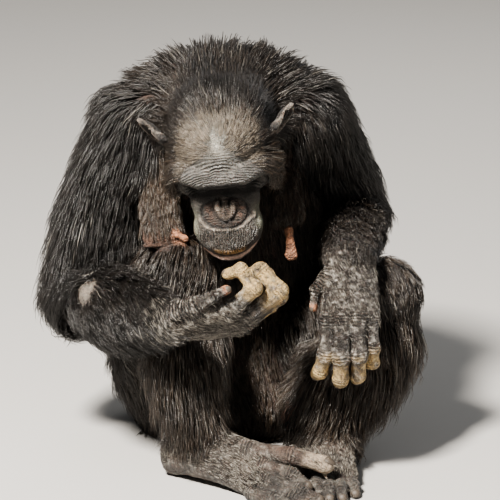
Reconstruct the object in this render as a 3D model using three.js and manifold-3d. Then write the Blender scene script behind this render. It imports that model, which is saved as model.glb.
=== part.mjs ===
// A life-size seated chimpanzee, hunched over raised knees, with one hand held before its mouth
// and the other hanging from its knee. Millimetres, +Z up, the animal faces -Y and its left is +X.
// The origin is on the floor under the seat.
import * as THREE from "three";
import { mergeVertices } from "three/addons/utils/BufferGeometryUtils.js";
import Module from "manifold-3d";

const wasm = await Module();
wasm.setup();

const GAP = 0.3;
const WELD = 0.01;
const FLOOR = 0;
const UP = new THREE.Vector3(0, 0, 1);
const LEFTWARD = new THREE.Vector3(1, 0, 0);
const point = (x, y, z) => new THREE.Vector3(x, y, z);

// Joints of the pose.
const SHOULDER = { r: point(-124, -55, 440), l: point(106, -60, 453) };
const ELBOW = { r: point(-204, -100, 212), l: point(174, 62, 280) };
const WRIST = { r: point(-68, -308, 243), l: point(160, -190, 296) };
const HIP = { r: point(-82, 12, 88), l: point(76, -2, 92) };
const KNEE = { r: point(-60, -150, 262), l: point(213, -140, 231) };
const ANKLE = { r: point(-42, -232, 66), l: point(135, -168, 60) };

// The head's centre and how far it nods, turns and leans.
const HEAD = { at: point(-9, -200, 467), nod: 38, turn: 3, lean: -7 };
const EYE = { x: 25, y: -54, z: -29, radius: 12 };
const LID = 2.4;

const SIDES = { torso: 20, limb: 10, palm: 10, digit: 7 };

const COLOURS = {
  coat: { color: "#1c1918", roughness: 0.75 },
  face: { color: "#4b423c", roughness: 0.7 },
  ear: { color: "#5b4c43", roughness: 0.75 },
  eye: { color: "#2a160d", roughness: 0.12 },
  breast: { color: "#4a362d", roughness: 0.75 },
  hand: { color: "#5d5148", roughness: 0.8 },
  foot: { color: "#57493f", roughness: 0.85 },
};

const DIGIT = { flat: 0.93, waist: 0.93 };

// The coat: how far its core reaches towards the tips, how deep a lock's root is sunk, and along
// a lock its stations, their share of the coat's height and their share of its full width.
const COAT = {
  core: 0.45,
  sink: 9,
  thick: 8,
  clear: 1.2,
  along: [0, 0.28, 0.58, 0.82, 1],
  height: [0, 0.8, 1, 1.04, 1.04],
  taper: [0.8, 1, 0.82, 0.5],
};

const radians = THREE.MathUtils.degToRad;

// A closed triangle surface as a solid that can be joined and cut.
function solidFrom(geometry) {
  const bare = geometry.index ? geometry.toNonIndexed() : geometry.clone();
  bare.deleteAttribute("normal");
  bare.deleteAttribute("uv");
  const merged = mergeVertices(bare, 1e-4);
  return new wasm.Manifold(
    new wasm.Mesh({
      numProp: 3,
      vertProperties: new Float32Array(merged.attributes.position.array),
      triVerts: new Uint32Array(merged.index.array),
    }),
  );
}

// A closed skin over rings of equal count, with a pole at each end.
function skinOver(rings, first, last) {
  const count = rings[0].length;
  const vertices = [first, ...rings.flat(), last];
  const faces = [];
  const at = (ring, k) => 1 + ring * count + (k % count);
  for (let k = 0; k < count; k += 1) {
    faces.push(0, at(0, k + 1), at(0, k));
    faces.push(vertices.length - 1, at(rings.length - 1, k), at(rings.length - 1, k + 1));
  }
  for (let ring = 0; ring + 1 < rings.length; ring += 1) {
    for (let k = 0; k < count; k += 1) {
      faces.push(at(ring, k), at(ring, k + 1), at(ring + 1, k + 1));
      faces.push(at(ring, k), at(ring + 1, k + 1), at(ring + 1, k));
    }
  }
  const geometry = new THREE.BufferGeometry().setFromPoints(vertices);
  geometry.setIndex(faces);
  return solidFrom(geometry);
}

// A value eased along equally spaced stations, with t from 0 to 1.
function eased(values, t) {
  const place = THREE.MathUtils.clamp(t, 0, 1) * (values.length - 1);
  const i = Math.min(Math.floor(place), values.length - 2);
  const f = place - i;
  const before = values[Math.max(i - 1, 0)];
  const after = values[Math.min(i + 2, values.length - 1)];
  const [a, b] = [values[i], values[i + 1]];
  return b * f + a * (1 - f) + (f * (1 - f) * ((a - before) * (1 - f) + (b - after) * f)) / 2;
}

// A limb or trunk: oval sections along a curve. wide lies along the across direction, deep is
// square to it, and coat is how far the hair's tips stand over the flesh. sparse is how much
// thinner the coat is at the front.
class Limb {
  constructor(stations, across, shape = {}) {
    this.stations = stations;
    this.across = across;
    this.dome = shape.dome ?? 1;
    this.sparse = shape.sparse ?? 0;
    this.curve = new THREE.CatmullRomCurve3(stations.map((s) => s.at), false, "centripetal");
    this.length = this.curve.getLength();
  }

  size(key, t) {
    return eased(this.stations.map((s) => s[key] ?? 0), t);
  }

  frame(t) {
    const inside = THREE.MathUtils.clamp(t, 0, 1);
    const along = this.curve.getTangent(inside);
    const centre = this.curve.getPoint(inside);
    centre.addScaledVector(along, (t - inside) * this.length);
    const u = this.across.clone().addScaledVector(along, -this.across.dot(along)).normalize();
    return { centre, along, u, v: along.clone().cross(u) };
  }

  // A place round the limb, at a share of the coat's height over the flesh plus a lift.
  at(t, angle, share, lift = 0) {
    const { centre, u, v } = this.frame(t);
    const thinned = 1 - this.sparse * Math.max(0, -Math.sin(angle));
    const out = lift + this.size("coat", t) * share * thinned;
    return centre
      .addScaledVector(u, Math.cos(angle) * (this.size("wide", t) + out))
      .addScaledVector(v, Math.sin(angle) * (this.size("deep", t) + out));
  }

  solid(sides, rings, grow = 0) {
    const loops = [];
    const loop = (t, lift, shift) => {
      const { along } = this.frame(t);
      const points = [];
      for (let k = 0; k < sides; k += 1) {
        const place = this.at(t, (2 * Math.PI * k) / sides, COAT.core, lift);
        points.push(place.addScaledVector(along, shift));
      }
      return points;
    };
    const end = (t, sign) => {
      const { centre, along } = this.frame(t);
      const flesh = Math.min(this.size("wide", t), this.size("deep", t));
      const reach = flesh + this.size("coat", t) * COAT.core + grow;
      const bulge = reach * this.dome;
      loops[sign < 0 ? "unshift" : "push"](loop(t, grow - reach * 0.26, sign * bulge * 0.66));
      return centre.clone().addScaledVector(along, sign * bulge);
    };
    for (let ring = 0; ring < rings; ring += 1) {
      loops.push(loop(ring / (rings - 1), grow, 0));
    }
    const first = end(0, -1);
    const last = end(1, 1);
    return skinOver(loops, first, last);
  }

  // Whether a place lies well inside the limb's core.
  holds(place) {
    for (let step = 0; step <= 8; step += 1) {
      const { centre, along, u, v } = this.frame(step / 8);
      const from = place.clone().sub(centre);
      const core = this.size("coat", step / 8) * COAT.core;
      const x = from.dot(u) / (this.size("wide", step / 8) + core);
      const y = from.dot(v) / (this.size("deep", step / 8) + core);
      const near = Math.abs(from.dot(along)) < this.length / 14;
      if (near && x * x + y * y < 0.9) return true;
    }
    return false;
  }
}

// Random numbers from 0 to 1 that are the same each time for one seed.
function draws(seed) {
  let state = seed;
  return () => {
    state = (state * 1664525 + 1013904223) % 4294967296;
    return state / 4294967296;
  };
}

// A triangle's corners moved out so that each side of it goes out by the same clearance.
function spread(corners, clearance) {
  return corners.map((corner, i) => {
    const before = corner.clone().sub(corners[(i + 2) % 3]).normalize();
    const after = corner.clone().sub(corners[(i + 1) % 3]).normalize();
    const sharpness = Math.sqrt((1 - before.dot(after)) / 2);
    const outward = before.add(after).normalize();
    return corner.clone().addScaledVector(outward, clearance / sharpness);
  });
}

// A lock of hair: a flat blade with a ridge along its outer face, which bends with what it grows
// on and tapers to a point. surface gives a place on it, from the station's number, the distance
// to the side and the lift.
function lock(surface, { width, thick }, grow) {
  const last = COAT.along.length - 1;
  const rings = COAT.taper.map((taper, i) => {
    const half = (width / 2) * taper;
    const corners = [surface(i, half, 0), surface(i, 0, thick * taper), surface(i, -half, 0)];
    return spread(corners, 1.5 * grow);
  });
  const tip = surface(last, 0, 0);
  const onward = tip.clone().sub(surface(last - 1, 0, 0)).normalize();
  return skinOver(rings, surface(0, 0, -COAT.sink / 3), tip.addScaledVector(onward, 8 * grow));
}

// The locks of one limb, in rows round it, each row set half a lock on from the last.
// way is 1 where the hair runs with the limb and -1 where it runs back along it.
function coatOn(limb, others, plan, grow) {
  const draw = draws(plan.seed);
  const locks = [];
  const [low, high] = plan.around.map(radians);
  for (let row = 0; row < plan.rows; row += 1) {
    const rowT = plan.from + ((plan.to - plan.from) * row) / Math.max(plan.rows - 1, 1);
    for (let k = 0; k < plan.perRow; k += 1) {
      const turn = (k + 0.25 + 0.5 * (row % 2) + 0.2 * (draw() - 0.5)) / plan.perRow;
      const angle = low + (high - low) * turn;
      const start = rowT + 0.05 * (draw() - 0.5);
      const length = plan.length * (0.85 + 0.3 * draw());
      const sway = 0.16 * (draw() - 0.5);
      const rise = 0.12 * draw();
      const width = plan.width * (0.9 + 0.2 * draw());
      const surface = (i, sideways, lift) => {
        const s = COAT.along[i];
        const t = start + (plan.way * length * s) / limb.length;
        const round = (limb.size("wide", t) + limb.size("deep", t)) / 2 + limb.size("coat", t);
        const turned = angle + sway * s - (plan.way * sideways) / round;
        const share = i === 0 ? COAT.core : COAT.height[i] + rise * s;
        const place = limb.at(t, turned, share, lift - (i === 0 ? COAT.sink : 0));
        const under = 0.5 - 0.5 * place.clone().sub(limb.frame(t).centre).normalize().z;
        place.z = Math.max(place.z - (plan.droop ?? 0) * under * s * s, FLOOR + COAT.clear * (i + 1));
        return place;
      };
      const path = COAT.along.map((_, i) => surface(i, 0, 0));
      const hidden = path.filter((place) => others.some((other) => other.holds(place))).length;
      if (hidden < 2) locks.push(lock(surface, { width, thick: COAT.thick }, grow));
    }
  }
  return locks;
}

// A finger or toe: thick at each joint, a little thinner between, with each joint's ring square
// to the bend. The ends are domes.
function digit(joints, radii, across, grow = 0) {
  const spans = joints.slice(1).map((joint, i) => joint.clone().sub(joints[i]));
  const ways = spans.map((span) => span.clone().normalize());
  const ring = (centre, along, radius) => {
    const u = across.clone().addScaledVector(along, -across.dot(along)).normalize();
    const v = along.clone().cross(u);
    return Array.from({ length: SIDES.digit }, (_, k) => {
      const angle = (2 * Math.PI * (k + 0.5)) / SIDES.digit;
      return centre
        .clone()
        .addScaledVector(u, Math.cos(angle) * (radius + grow))
        .addScaledVector(v, Math.sin(angle) * (radius * DIGIT.flat + grow));
    });
  };
  const [start, end] = [joints[0], joints[joints.length - 1]];
  const [first, last] = [ways[0], ways[ways.length - 1]];
  const [thick, thin] = [radii[0], radii[radii.length - 1]];
  const rings = [ring(start.clone().addScaledVector(first, -thick * 0.6), first, thick * 0.7)];
  joints.forEach((joint, i) => {
    const turned = (ways[i - 1] ?? first).clone().add(ways[i] ?? last).normalize();
    rings.push(ring(joint, turned, radii[i]));
    if (i < spans.length) {
      const middle = joint.clone().addScaledVector(spans[i], 0.5);
      rings.push(ring(middle, ways[i], ((radii[i] + radii[i + 1]) / 2) * DIGIT.waist));
    }
  });
  rings.push(ring(end.clone().addScaledVector(last, thin * 0.6), last, thin * 0.75));
  const foot = start.clone().addScaledVector(first, -thick - grow);
  return skinOver(rings, foot, end.clone().addScaledVector(last, thin * 0.95 + grow));
}

// A ball or oval with its own three radii, turned about X by tilt degrees.
function oval(centre, radii, grow = 0, detail = 10, tilt = 0) {
  const ball = new THREE.SphereGeometry(1, detail + 4, detail);
  ball.scale(radii[0] + grow, radii[1] + grow, radii[2] + grow);
  ball.rotateX(radians(tilt));
  ball.translate(centre.x, centre.y, centre.z);
  return solidFrom(ball);
}

const union = (solids) => wasm.Manifold.union(solids);

// The head in its own frame: the face looks along -Y and the crown is up, from the skull's centre.
const headFrame = new THREE.Matrix4()
  .makeTranslation(HEAD.at.x, HEAD.at.y, HEAD.at.z)
  .multiply(new THREE.Matrix4().makeRotationY(radians(HEAD.lean)))
  .multiply(new THREE.Matrix4().makeRotationZ(radians(HEAD.turn)))
  .multiply(new THREE.Matrix4().makeRotationX(radians(HEAD.nod)));
const fromHead = (x, y, z) => point(x, y, z).applyMatrix4(headFrame);

// Masses of the head, each a centre and three radii; those off the midline come in pairs.
const HEAD_MASSES = {
  skull: [0, 6, 2, 60, 68, 55],
  occiput: [0, 40, -22, 50, 46, 44],
  temple: [44, -8, -36, 26, 44, 48],
  cheekbone: [42, -46, -40, 24, 24, 18],
  midface: [0, -66, -42, 30, 28, 34],
  malar: [26, -64, -60, 22, 22, 24],
  muzzle: [0, -82, -95, 47, 40, 36],
  lip: [0, -96, -86, 36, 26, 24],
  jaw: [0, -70, -122, 38, 46, 24],
  throat: [0, -30, -96, 40, 46, 34],
};
const BROW = { half: 50, bow: 11, y: -52, z: -2, radius: 12 };
const SOCKET = { x: 25, y: -76, z: -27, radius: 14 };
const BLEND = 12;
const HEAD_FUR = 8;

// Distance, near enough, to an oval.
function ovalDistance(p, [x, y, z, a, b, c]) {
  const q = [p.x - x, p.y - y, p.z - z];
  const scaled = Math.hypot(q[0] / a, q[1] / b, q[2] / c);
  const steep = Math.hypot(q[0] / (a * a), q[1] / (b * b), q[2] / (c * c));
  return steep < 1e-9 ? -Math.min(a, b, c) : (scaled * (scaled - 1)) / steep;
}

function barDistance(p, a, b, radius) {
  const span = b.clone().sub(a);
  const t = THREE.MathUtils.clamp(p.clone().sub(a).dot(span) / span.lengthSq(), 0, 1);
  return p.distanceTo(a.clone().addScaledVector(span, t)) - radius;
}

function softMin(a, b, k) {
  const h = Math.max(k - Math.abs(a - b), 0) / k;
  return Math.min(a, b) - h * h * k * 0.25;
}

// How much short fur covers a place on the head, from 0 on the bare face to 1.
function furriness(p) {
  const above = THREE.MathUtils.smoothstep(p.z, 2, 24);
  const behind = THREE.MathUtils.smoothstep(p.y, -44, -14);
  return Math.max(above * THREE.MathUtils.smoothstep(p.y, -72, -40), behind);
}

// The head's form: below zero inside. The face is the same both sides, so x is folded.
function headForm(place) {
  const p = point(Math.abs(place.x), place.y, place.z);
  let distance = Infinity;
  for (const mass of Object.values(HEAD_MASSES)) {
    distance = softMin(distance, ovalDistance(p, mass), BLEND);
  }
  const browMiddle = point(0, BROW.y - BROW.bow, BROW.z + 3);
  const browEnd = point(BROW.half, BROW.y, BROW.z);
  distance = softMin(distance, barDistance(p, browMiddle, browEnd, BROW.radius), BLEND / 2);
  const hollow = SOCKET.radius - p.distanceTo(point(SOCKET.x, SOCKET.y, SOCKET.z));
  distance = -softMin(-distance, -hollow, BLEND / 2);
  return distance - HEAD_FUR * furriness(p);
}

// The head's outer surface, found along rays from a point between face and skull. Its rings run
// round the line of sight and lie closest at the muzzle.
const HEART = point(0, -34, -34);

// The place where a ray from the head's heart leaves its form, moved out by a lift.
function onHead(direction, lift = 0) {
  const place = (r) => HEART.clone().addScaledVector(direction, r);
  let far = 190;
  while (headForm(place(far)) > 0 && far > 0) far -= 4;
  let [inside, outside] = [far, far + 4];
  for (let step = 0; step < 12; step += 1) {
    const middle = (inside + outside) / 2;
    if (headForm(place(middle)) > 0) outside = middle;
    else inside = middle;
  }
  return place(inside + lift).applyMatrix4(headFrame);
}

function headShell(grow = 0) {
  const [rows, columns] = [16, 24];
  const surface = (direction) => onHead(direction, grow);
  const ray = (polar, turn) =>
    point(Math.sin(polar) * Math.cos(turn), -Math.cos(polar), Math.sin(polar) * Math.sin(turn));
  const rings = [];
  for (let row = 1; row < rows; row += 1) {
    const polar = Math.PI * (row / rows) ** 1.15;
    const ring = [];
    for (let k = 0; k < columns; k += 1) ring.push(surface(ray(polar, (-2 * Math.PI * k) / columns)));
    rings.push(ring);
  }
  return skinOver(rings, surface(ray(0, 0)), surface(ray(Math.PI, 0)));
}

const bothSides = [
  ["r", -1],
  ["l", 1],
];

// Locks of the head: whiskers down each cheek. Each goes from one direction, seen from the head's
// heart, to another.
const WHISKERS = [
  [[0.9, -0.3, -0.1], [0.85, 0.2, -0.55]],
  [[0.86, -0.3, -0.42], [0.68, 0.15, -0.8]],
  [[0.68, -0.3, -0.68], [0.42, 0.05, -0.95]],
  [[0.95, 0.15, -0.3], [0.75, 0.6, -0.55]],
];
const HEAD_LOCK = { width: 40, thick: 5, reach: 95, rise: [0, 3, 7, 10, 11] };

function headLock(from, to, grow) {
  const surface = (i, sideways, lift) => {
    const direction = from.clone().lerp(to, COAT.along[i]).normalize();
    const side = direction.clone().cross(to.clone().sub(from)).normalize();
    direction.addScaledVector(side, sideways / HEAD_LOCK.reach).normalize();
    return onHead(direction, lift + (i === 0 ? -COAT.sink / 2 : HEAD_LOCK.rise[i]));
  };
  return lock(surface, HEAD_LOCK, grow);
}

function headLocks(grow) {
  const locks = [];
  for (const [, side] of bothSides) {
    for (const [from, to] of WHISKERS) {
      const turned = ([x, y, z]) => point(side * x, y, z);
      locks.push(headLock(turned(from), turned(to), grow));
    }
  }
  return locks;
}

// A curved bar through places in the head's own frame.
function headBar(places, wide, deep, grow = 0, across = UP) {
  const stations = places.map(([x, y, z]) => ({ at: fromHead(x, y, z), wide, deep }));
  const turned = across.clone().transformDirection(headFrame);
  return new Limb(stations, turned, { dome: 0.6 }).solid(6, 6, grow);
}

const MOUTH = [
  [-42, -92, -107],
  [-25, -113, -104.5],
  [0, -122, -103],
  [25, -113, -104.5],
  [42, -92, -107],
];
const NOSE = { wing: [10, -93, -56, 8, 8, 7], tip: [0, -95, -51, 8, 8, 9] };
const NOSTRIL = { x: 7, y: -102, z: -59, radii: [4, 5, 3] };

function headOval([x, y, z, a, b, c], grow = 0, detail = 6) {
  return oval(fromHead(x, y, z), [a, b, c], grow, detail, HEAD.nod);
}

function head(grow = 0) {
  const raised = MOUTH.map(([x, y, z]) => [x * 0.98, y + 4, z + 7]);
  const lowered = MOUTH.map(([x, y, z]) => [x * 0.92, y + 7, z - 7]);
  const added = [headShell(grow), headOval(NOSE.tip, grow)];
  added.push(headBar(raised, 6.5, 7, grow), headBar(lowered, 6, 6.5, grow));
  const cuts = [headBar(MOUTH, 0.9, 8, 0)];
  for (const [, side] of bothSides) {
    const [x, ...rest] = NOSE.wing;
    added.push(headOval([side * x, ...rest], grow));
    added.push(headOval([side * EYE.x, EYE.y, EYE.z, ...Array(3).fill(EYE.radius + LID)], grow, 6));
    cuts.push(headOval([side * NOSTRIL.x, NOSTRIL.y, NOSTRIL.z, ...NOSTRIL.radii], 0, 5));
    cuts.push(headOval([side * EYE.x, EYE.y - EYE.radius - LID, EYE.z - 1, 10, 6, 4.2], 0, 6));
  }
  return [union(added).subtract(union(cuts)), ...headLocks(grow)];
}

const eyeball = (side) => (grow = 0) => [
  oval(fromHead(side * EYE.x, EYE.y, EYE.z), Array(3).fill(EYE.radius), grow, 7),
];

// An ear: a leaf of skin with a rolled rim and a hollow that looks forward and out.
const EAR = { x: 79, y: 22, z: 4, tall: 33, long: 21, thick: 8, flare: 42 };
const ear = (side) => (grow = 0) => {
  const leaf = new THREE.SphereGeometry(1, 12, 8).scale(EAR.long + grow, EAR.thick + grow, EAR.tall + grow);
  const cup = new THREE.SphereGeometry(1, 10, 6).scale(EAR.long * 0.76, EAR.thick, EAR.tall * 0.76);
  cup.translate(2, -EAR.thick * 0.78, 0);
  const place = headFrame
    .clone()
    .multiply(new THREE.Matrix4().makeTranslation(side * EAR.x, EAR.y, EAR.z))
    .multiply(new THREE.Matrix4().makeRotationZ(radians(side * EAR.flare)))
    .multiply(new THREE.Matrix4().makeTranslation(side * EAR.long * 0.45, 0, 0));
  const hollow = cup.applyMatrix4(place);
  return [solidFrom(leaf.applyMatrix4(place)).subtract(solidFrom(hollow))];
};

// Trunk, from the seat to the root of the neck.
const trunk = new Limb(
  [
    { at: point(0, 8, 20), wide: 112, deep: 92, coat: 20 },
    { at: point(0, 8, 75), wide: 126, deep: 106, coat: 24 },
    { at: point(0, 14, 140), wide: 128, deep: 108, coat: 26 },
    { at: point(0, 20, 215), wide: 124, deep: 104, coat: 27 },
    { at: point(0, 18, 295), wide: 132, deep: 100, coat: 28 },
    { at: point(-1, -2, 375), wide: 138, deep: 96, coat: 30 },
    { at: point(-6, -40, 447), wide: 138, deep: 88, coat: 36 },
    { at: point(-6, -84, 487), wide: 112, deep: 72, coat: 34 },
  ],
  LEFTWARD,
  { dome: 0.5, sparse: 0.6 },
);
const BREASTS = {
  r: { root: point(-78, -104, 354), tip: point(-58, -176, 322), wide: 34, deep: 15, nipple: 6.5 },
  l: { root: point(70, -108, 364), tip: point(85, -186, 298), wide: 26, deep: 16, nipple: 7.5 },
};
const breast = ({ root, tip, wide, deep, nipple }) => (grow = 0) => {
  const sac = [
    { at: root, wide, deep },
    { at: root.clone().lerp(tip, 0.55), wide: wide * 0.8, deep: deep * 0.9 },
    { at: tip, wide: nipple, deep: nipple },
  ];
  return [new Limb(sac, LEFTWARD).solid(8, 4, grow)];
};

const nape = new Limb(
  [
    { at: point(-5, -80, 462), wide: 72, deep: 62, coat: 20 },
    { at: point(-7, -122, 474), wide: 66, deep: 58, coat: 18 },
    { at: point(-9, -165, 470), wide: 60, deep: 54, coat: 12 },
  ],
  LEFTWARD,
);

// Limbs.
const between = (a, b, t, shift = [0, 0, 0]) => a.clone().lerp(b, t).add(point(...shift));

const UPPER_ARMS = {
  r: new Limb(
    [
      { at: SHOULDER.r, wide: 54, deep: 54, coat: 34 },
      { at: between(SHOULDER.r, ELBOW.r, 0.35, [-5, 0, 0]), wide: 51, deep: 50, coat: 32 },
      { at: between(SHOULDER.r, ELBOW.r, 0.7, [-3, 0, 0]), wide: 46, deep: 45, coat: 30 },
      { at: ELBOW.r, wide: 37, deep: 37, coat: 16 },
    ],
    LEFTWARD,
  ),
  l: new Limb(
    [
      { at: SHOULDER.l, wide: 51, deep: 52, coat: 28 },
      { at: between(SHOULDER.l, ELBOW.l, 0.35), wide: 47, deep: 48, coat: 24 },
      { at: between(SHOULDER.l, ELBOW.l, 0.7), wide: 42, deep: 44, coat: 22 },
      { at: ELBOW.l, wide: 36, deep: 37, coat: 16 },
    ],
    LEFTWARD,
  ),
};
const FOREARMS = {
  r: new Limb(
    [
      { at: ELBOW.r, wide: 33, deep: 33, coat: 14 },
      { at: between(ELBOW.r, WRIST.r, 0.33, [0, 0, -2]), wide: 42, deep: 37, coat: 22 },
      { at: between(ELBOW.r, WRIST.r, 0.68), wide: 33, deep: 30, coat: 16 },
      { at: WRIST.r, wide: 25, deep: 19, coat: 3 },
    ],
    UP,
  ),
  l: new Limb(
    [
      { at: ELBOW.l, wide: 31, deep: 32, coat: 10 },
      { at: between(ELBOW.l, WRIST.l, 0.33), wide: 38, deep: 36, coat: 16 },
      { at: between(ELBOW.l, WRIST.l, 0.68), wide: 31, deep: 27, coat: 12 },
      { at: WRIST.l, wide: 26, deep: 19, coat: 4 },
    ],
    LEFTWARD,
  ),
};
const THIGHS = {
  r: new Limb(
    [
      { at: HIP.r, wide: 74, deep: 76, coat: 18 },
      { at: between(HIP.r, KNEE.r, 0.4), wide: 66, deep: 68, coat: 24 },
      { at: between(HIP.r, KNEE.r, 0.75), wide: 54, deep: 56, coat: 20 },
      { at: KNEE.r, wide: 47, deep: 46, coat: 8 },
    ],
    LEFTWARD,
  ),
  l: new Limb(
    [
      { at: HIP.l, wide: 72, deep: 74, coat: 16 },
      { at: between(HIP.l, KNEE.l, 0.4), wide: 64, deep: 66, coat: 20 },
      { at: between(HIP.l, KNEE.l, 0.75), wide: 50, deep: 54, coat: 16 },
      { at: KNEE.l, wide: 44, deep: 44, coat: 6 },
    ],
    LEFTWARD,
  ),
};
const SHINS = {
  r: new Limb(
    [
      { at: between(KNEE.r, ANKLE.r, 0.06), wide: 42, deep: 41, coat: 6 },
      { at: between(KNEE.r, ANKLE.r, 0.33, [-6, 6, 0]), wide: 44, deep: 46, coat: 26 },
      { at: between(KNEE.r, ANKLE.r, 0.68, [-8, 4, 0]), wide: 35, deep: 37, coat: 34 },
      { at: ANKLE.r, wide: 27, deep: 29, coat: 24 },
    ],
    LEFTWARD,
  ),
  l: new Limb(
    [
      { at: between(KNEE.l, ANKLE.l, 0.06), wide: 39, deep: 39, coat: 4 },
      { at: between(KNEE.l, ANKLE.l, 0.33, [8, 8, 0]), wide: 46, deep: 48, coat: 28 },
      { at: between(KNEE.l, ANKLE.l, 0.68, [8, 6, 0]), wide: 36, deep: 38, coat: 28 },
      { at: ANKLE.l, wide: 28, deep: 29, coat: 10 },
    ],
    LEFTWARD,
  ),
};

// Where each limb's coat grows and which way it lies. around is the span of angles it covers.
const LIMBS = {
  torso: {
    limb: trunk,
    sides: SIDES.torso,
    rings: 9,
    coat: [{ from: 0.98, to: 0.16, rows: 5, around: [-28, 208], perRow: 6, length: 140, width: 100,
      way: -1, droop: 6, seed: 11 }],
  },
  neck: {
    limb: nape,
    sides: 12,
    rings: 4,
    coat: [{ from: 0.75, to: 0.75, rows: 1, around: [-5, 185], perRow: 4, length: 84, width: 60, way: -1,
      seed: 12 }],
  },
  upper_arm_r: {
    limb: UPPER_ARMS.r,
    coat: [{ from: 0, to: 0.64, rows: 3, around: [60, 330], perRow: 5, length: 104, width: 74, way: 1,
      droop: 8, seed: 13 }],
  },
  thigh_r: {
    limb: THIGHS.r,
    coat: [{ from: 0.92, to: 0.16, rows: 3, around: [115, 300], perRow: 3, length: 122, width: 80,
      way: -1, droop: 130, seed: 14 }],
  },
  shin_r: {
    limb: SHINS.r,
    coat: [{ from: 0.16, to: 0.66, rows: 2, around: [-30, 260], perRow: 5, length: 104, width: 76, way: 1,
      droop: 4, seed: 15 }],
  },
  forearm_r: {
    limb: FOREARMS.r,
    coat: [{ from: 0.72, to: 0.22, rows: 2, around: [-40, 240], perRow: 4, length: 94, width: 76, way: -1,
      droop: 50, seed: 16 }],
  },
  upper_arm_l: {
    limb: UPPER_ARMS.l,
    coat: [{ from: 0, to: 0.7, rows: 3, around: [-120, 120], perRow: 4, length: 108, width: 72, way: 1,
      droop: 10, seed: 17 }],
  },
  thigh_l: {
    limb: THIGHS.l,
    coat: [{ from: 0.92, to: 0.16, rows: 3, around: [-120, 60], perRow: 3, length: 118, width: 80,
      way: -1, droop: 80, seed: 18 }],
  },
  shin_l: {
    limb: SHINS.l,
    coat: [{ from: 0.16, to: 0.66, rows: 2, around: [-120, 120], perRow: 4, length: 112, width: 78, way: 1,
      droop: 20, seed: 19 }],
  },
  forearm_l: {
    limb: FOREARMS.l,
    coat: [{ from: 0.72, to: 0.22, rows: 2, around: [-60, 200], perRow: 4, length: 84, width: 62, way: -1,
      droop: 26, seed: 20 }],
  },
};
const limbNode = ({ limb, coat, sides = SIDES.limb, rings = 5 }) => (grow = 0) => {
  const limbs = Object.values(LIMBS).map((entry) => entry.limb);
  const others = [...limbs.filter((other) => other !== limb), ...Object.values(ENDS)];
  return [limb.solid(sides, rings, grow), ...coat.flatMap((plan) => coatOn(limb, others, plan, grow))];
};

// Hands: a palm from the wrist to the knuckles, then fingers as chains of joints.
const HANDS = {
  r: {
    across: point(14, 53, -43).normalize(),
    palm: [
      { at: WRIST.r, wide: 26, deep: 19 },
      { at: point(-38, -312, 246), wide: 38, deep: 20 },
      { at: point(0, -310, 249), wide: 41, deep: 16 },
      { at: point(10, -308, 250), wide: 39, deep: 13 },
    ],
    thumb: [point(-50, -318, 262), point(-26, -334, 280), point(-4, -338, 297)],
    fingers: {
      index: [point(0, -332, 267), point(44, -332, 301), point(20, -325, 324), point(-6, -316, 314)],
      middle: [point(20, -318, 253), point(70, -316, 290), point(46, -302, 319), point(22, -292, 313)],
      ring: [point(21, -300, 240), point(66, -292, 274), point(46, -276, 303), point(22, -268, 300)],
      little: [point(14, -284, 228), point(54, -272, 256), point(38, -256, 280), point(18, -250, 281)],
    },
  },
  l: {
    across: point(1, 0.15, 0).normalize(),
    palm: [
      { at: WRIST.l, wide: 27, deep: 19 },
      { at: point(161, -217, 268), wide: 36, deep: 18 },
      { at: point(160, -246, 240), wide: 39, deep: 15 },
      { at: point(160, -252, 232), wide: 37, deep: 13 },
    ],
    thumb: [point(130, -208, 276), point(113, -226, 262), point(113, -240, 238)],
    fingers: {
      index: [point(131, -256, 228), point(127, -266, 184), point(121, -254, 158), point(117, -236, 148)],
      middle: [point(150, -260, 230), point(148, -272, 182), point(148, -258, 148), point(147, -238, 138)],
      ring: [point(170, -257, 229), point(172, -268, 184), point(171, -254, 152), point(170, -236, 142)],
      little: [point(187, -247, 226), point(190, -256, 192), point(190, -246, 168), point(188, -230, 160)],
    },
  },
};
const FINGER = {
  index: [12, 11.5, 10.5, 9],
  middle: [12.5, 12, 11, 9.5],
  ring: [12, 11.5, 10.5, 9],
  little: [11, 10.5, 9.5, 8],
};
const THUMB = [12, 10.5, 8.5];

const digitNode = (joints, radii, across) => (grow = 0) => [digit(joints, radii, across, grow)];

// Feet: a sole from heel to ball, then toes. The right foot lies on its outer edge and its big
// toe crosses the left foot, which stands flat and points forward.
const FEET = {
  r: {
    across: point(0.32, 0.6, 0.72).normalize(),
    sole: [
      { at: point(-72, -212, 24), wide: 27, deep: 24 },
      { at: point(-42, -232, 36), wide: 34, deep: 30 },
      { at: point(4, -262, 34), wide: 35, deep: 22 },
      { at: point(42, -292, 25), wide: 33, deep: 15 },
    ],
    toes: {
      hallux: [point(26, -268, 52), point(84, -286, 50), point(128, -300, 43)],
      second: [point(48, -292, 38), point(84, -312, 34), point(102, -324, 22)],
      third: [point(50, -304, 23), point(94, -326, 18), point(118, -334, 6)],
      fourth: [point(44, -312, 12), point(82, -334, 10), point(100, -342, 5)],
      fifth: [point(30, -314, 8), point(60, -334, 7), point(76, -342, 5)],
    },
  },
  l: {
    across: LEFTWARD,
    sole: [
      { at: point(142, -136, 23), wide: 25, deep: 25 },
      { at: point(138, -170, 33), wide: 29, deep: 35 },
      { at: point(135, -218, 25), wide: 33, deep: 27 },
      { at: point(134, -262, 17), wide: 36, deep: 18 },
    ],
    toes: {
      hallux: [point(106, -236, 17), point(86, -270, 14), point(78, -300, 10)],
      second: [point(118, -270, 17), point(116, -304, 16), point(116, -320, 6)],
      third: [point(132, -274, 16), point(132, -312, 15), point(133, -329, 6)],
      fourth: [point(146, -272, 15), point(148, -308, 14), point(150, -323, 5)],
      fifth: [point(160, -264, 13), point(164, -294, 12), point(167, -308, 5)],
    },
  },
};
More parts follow.
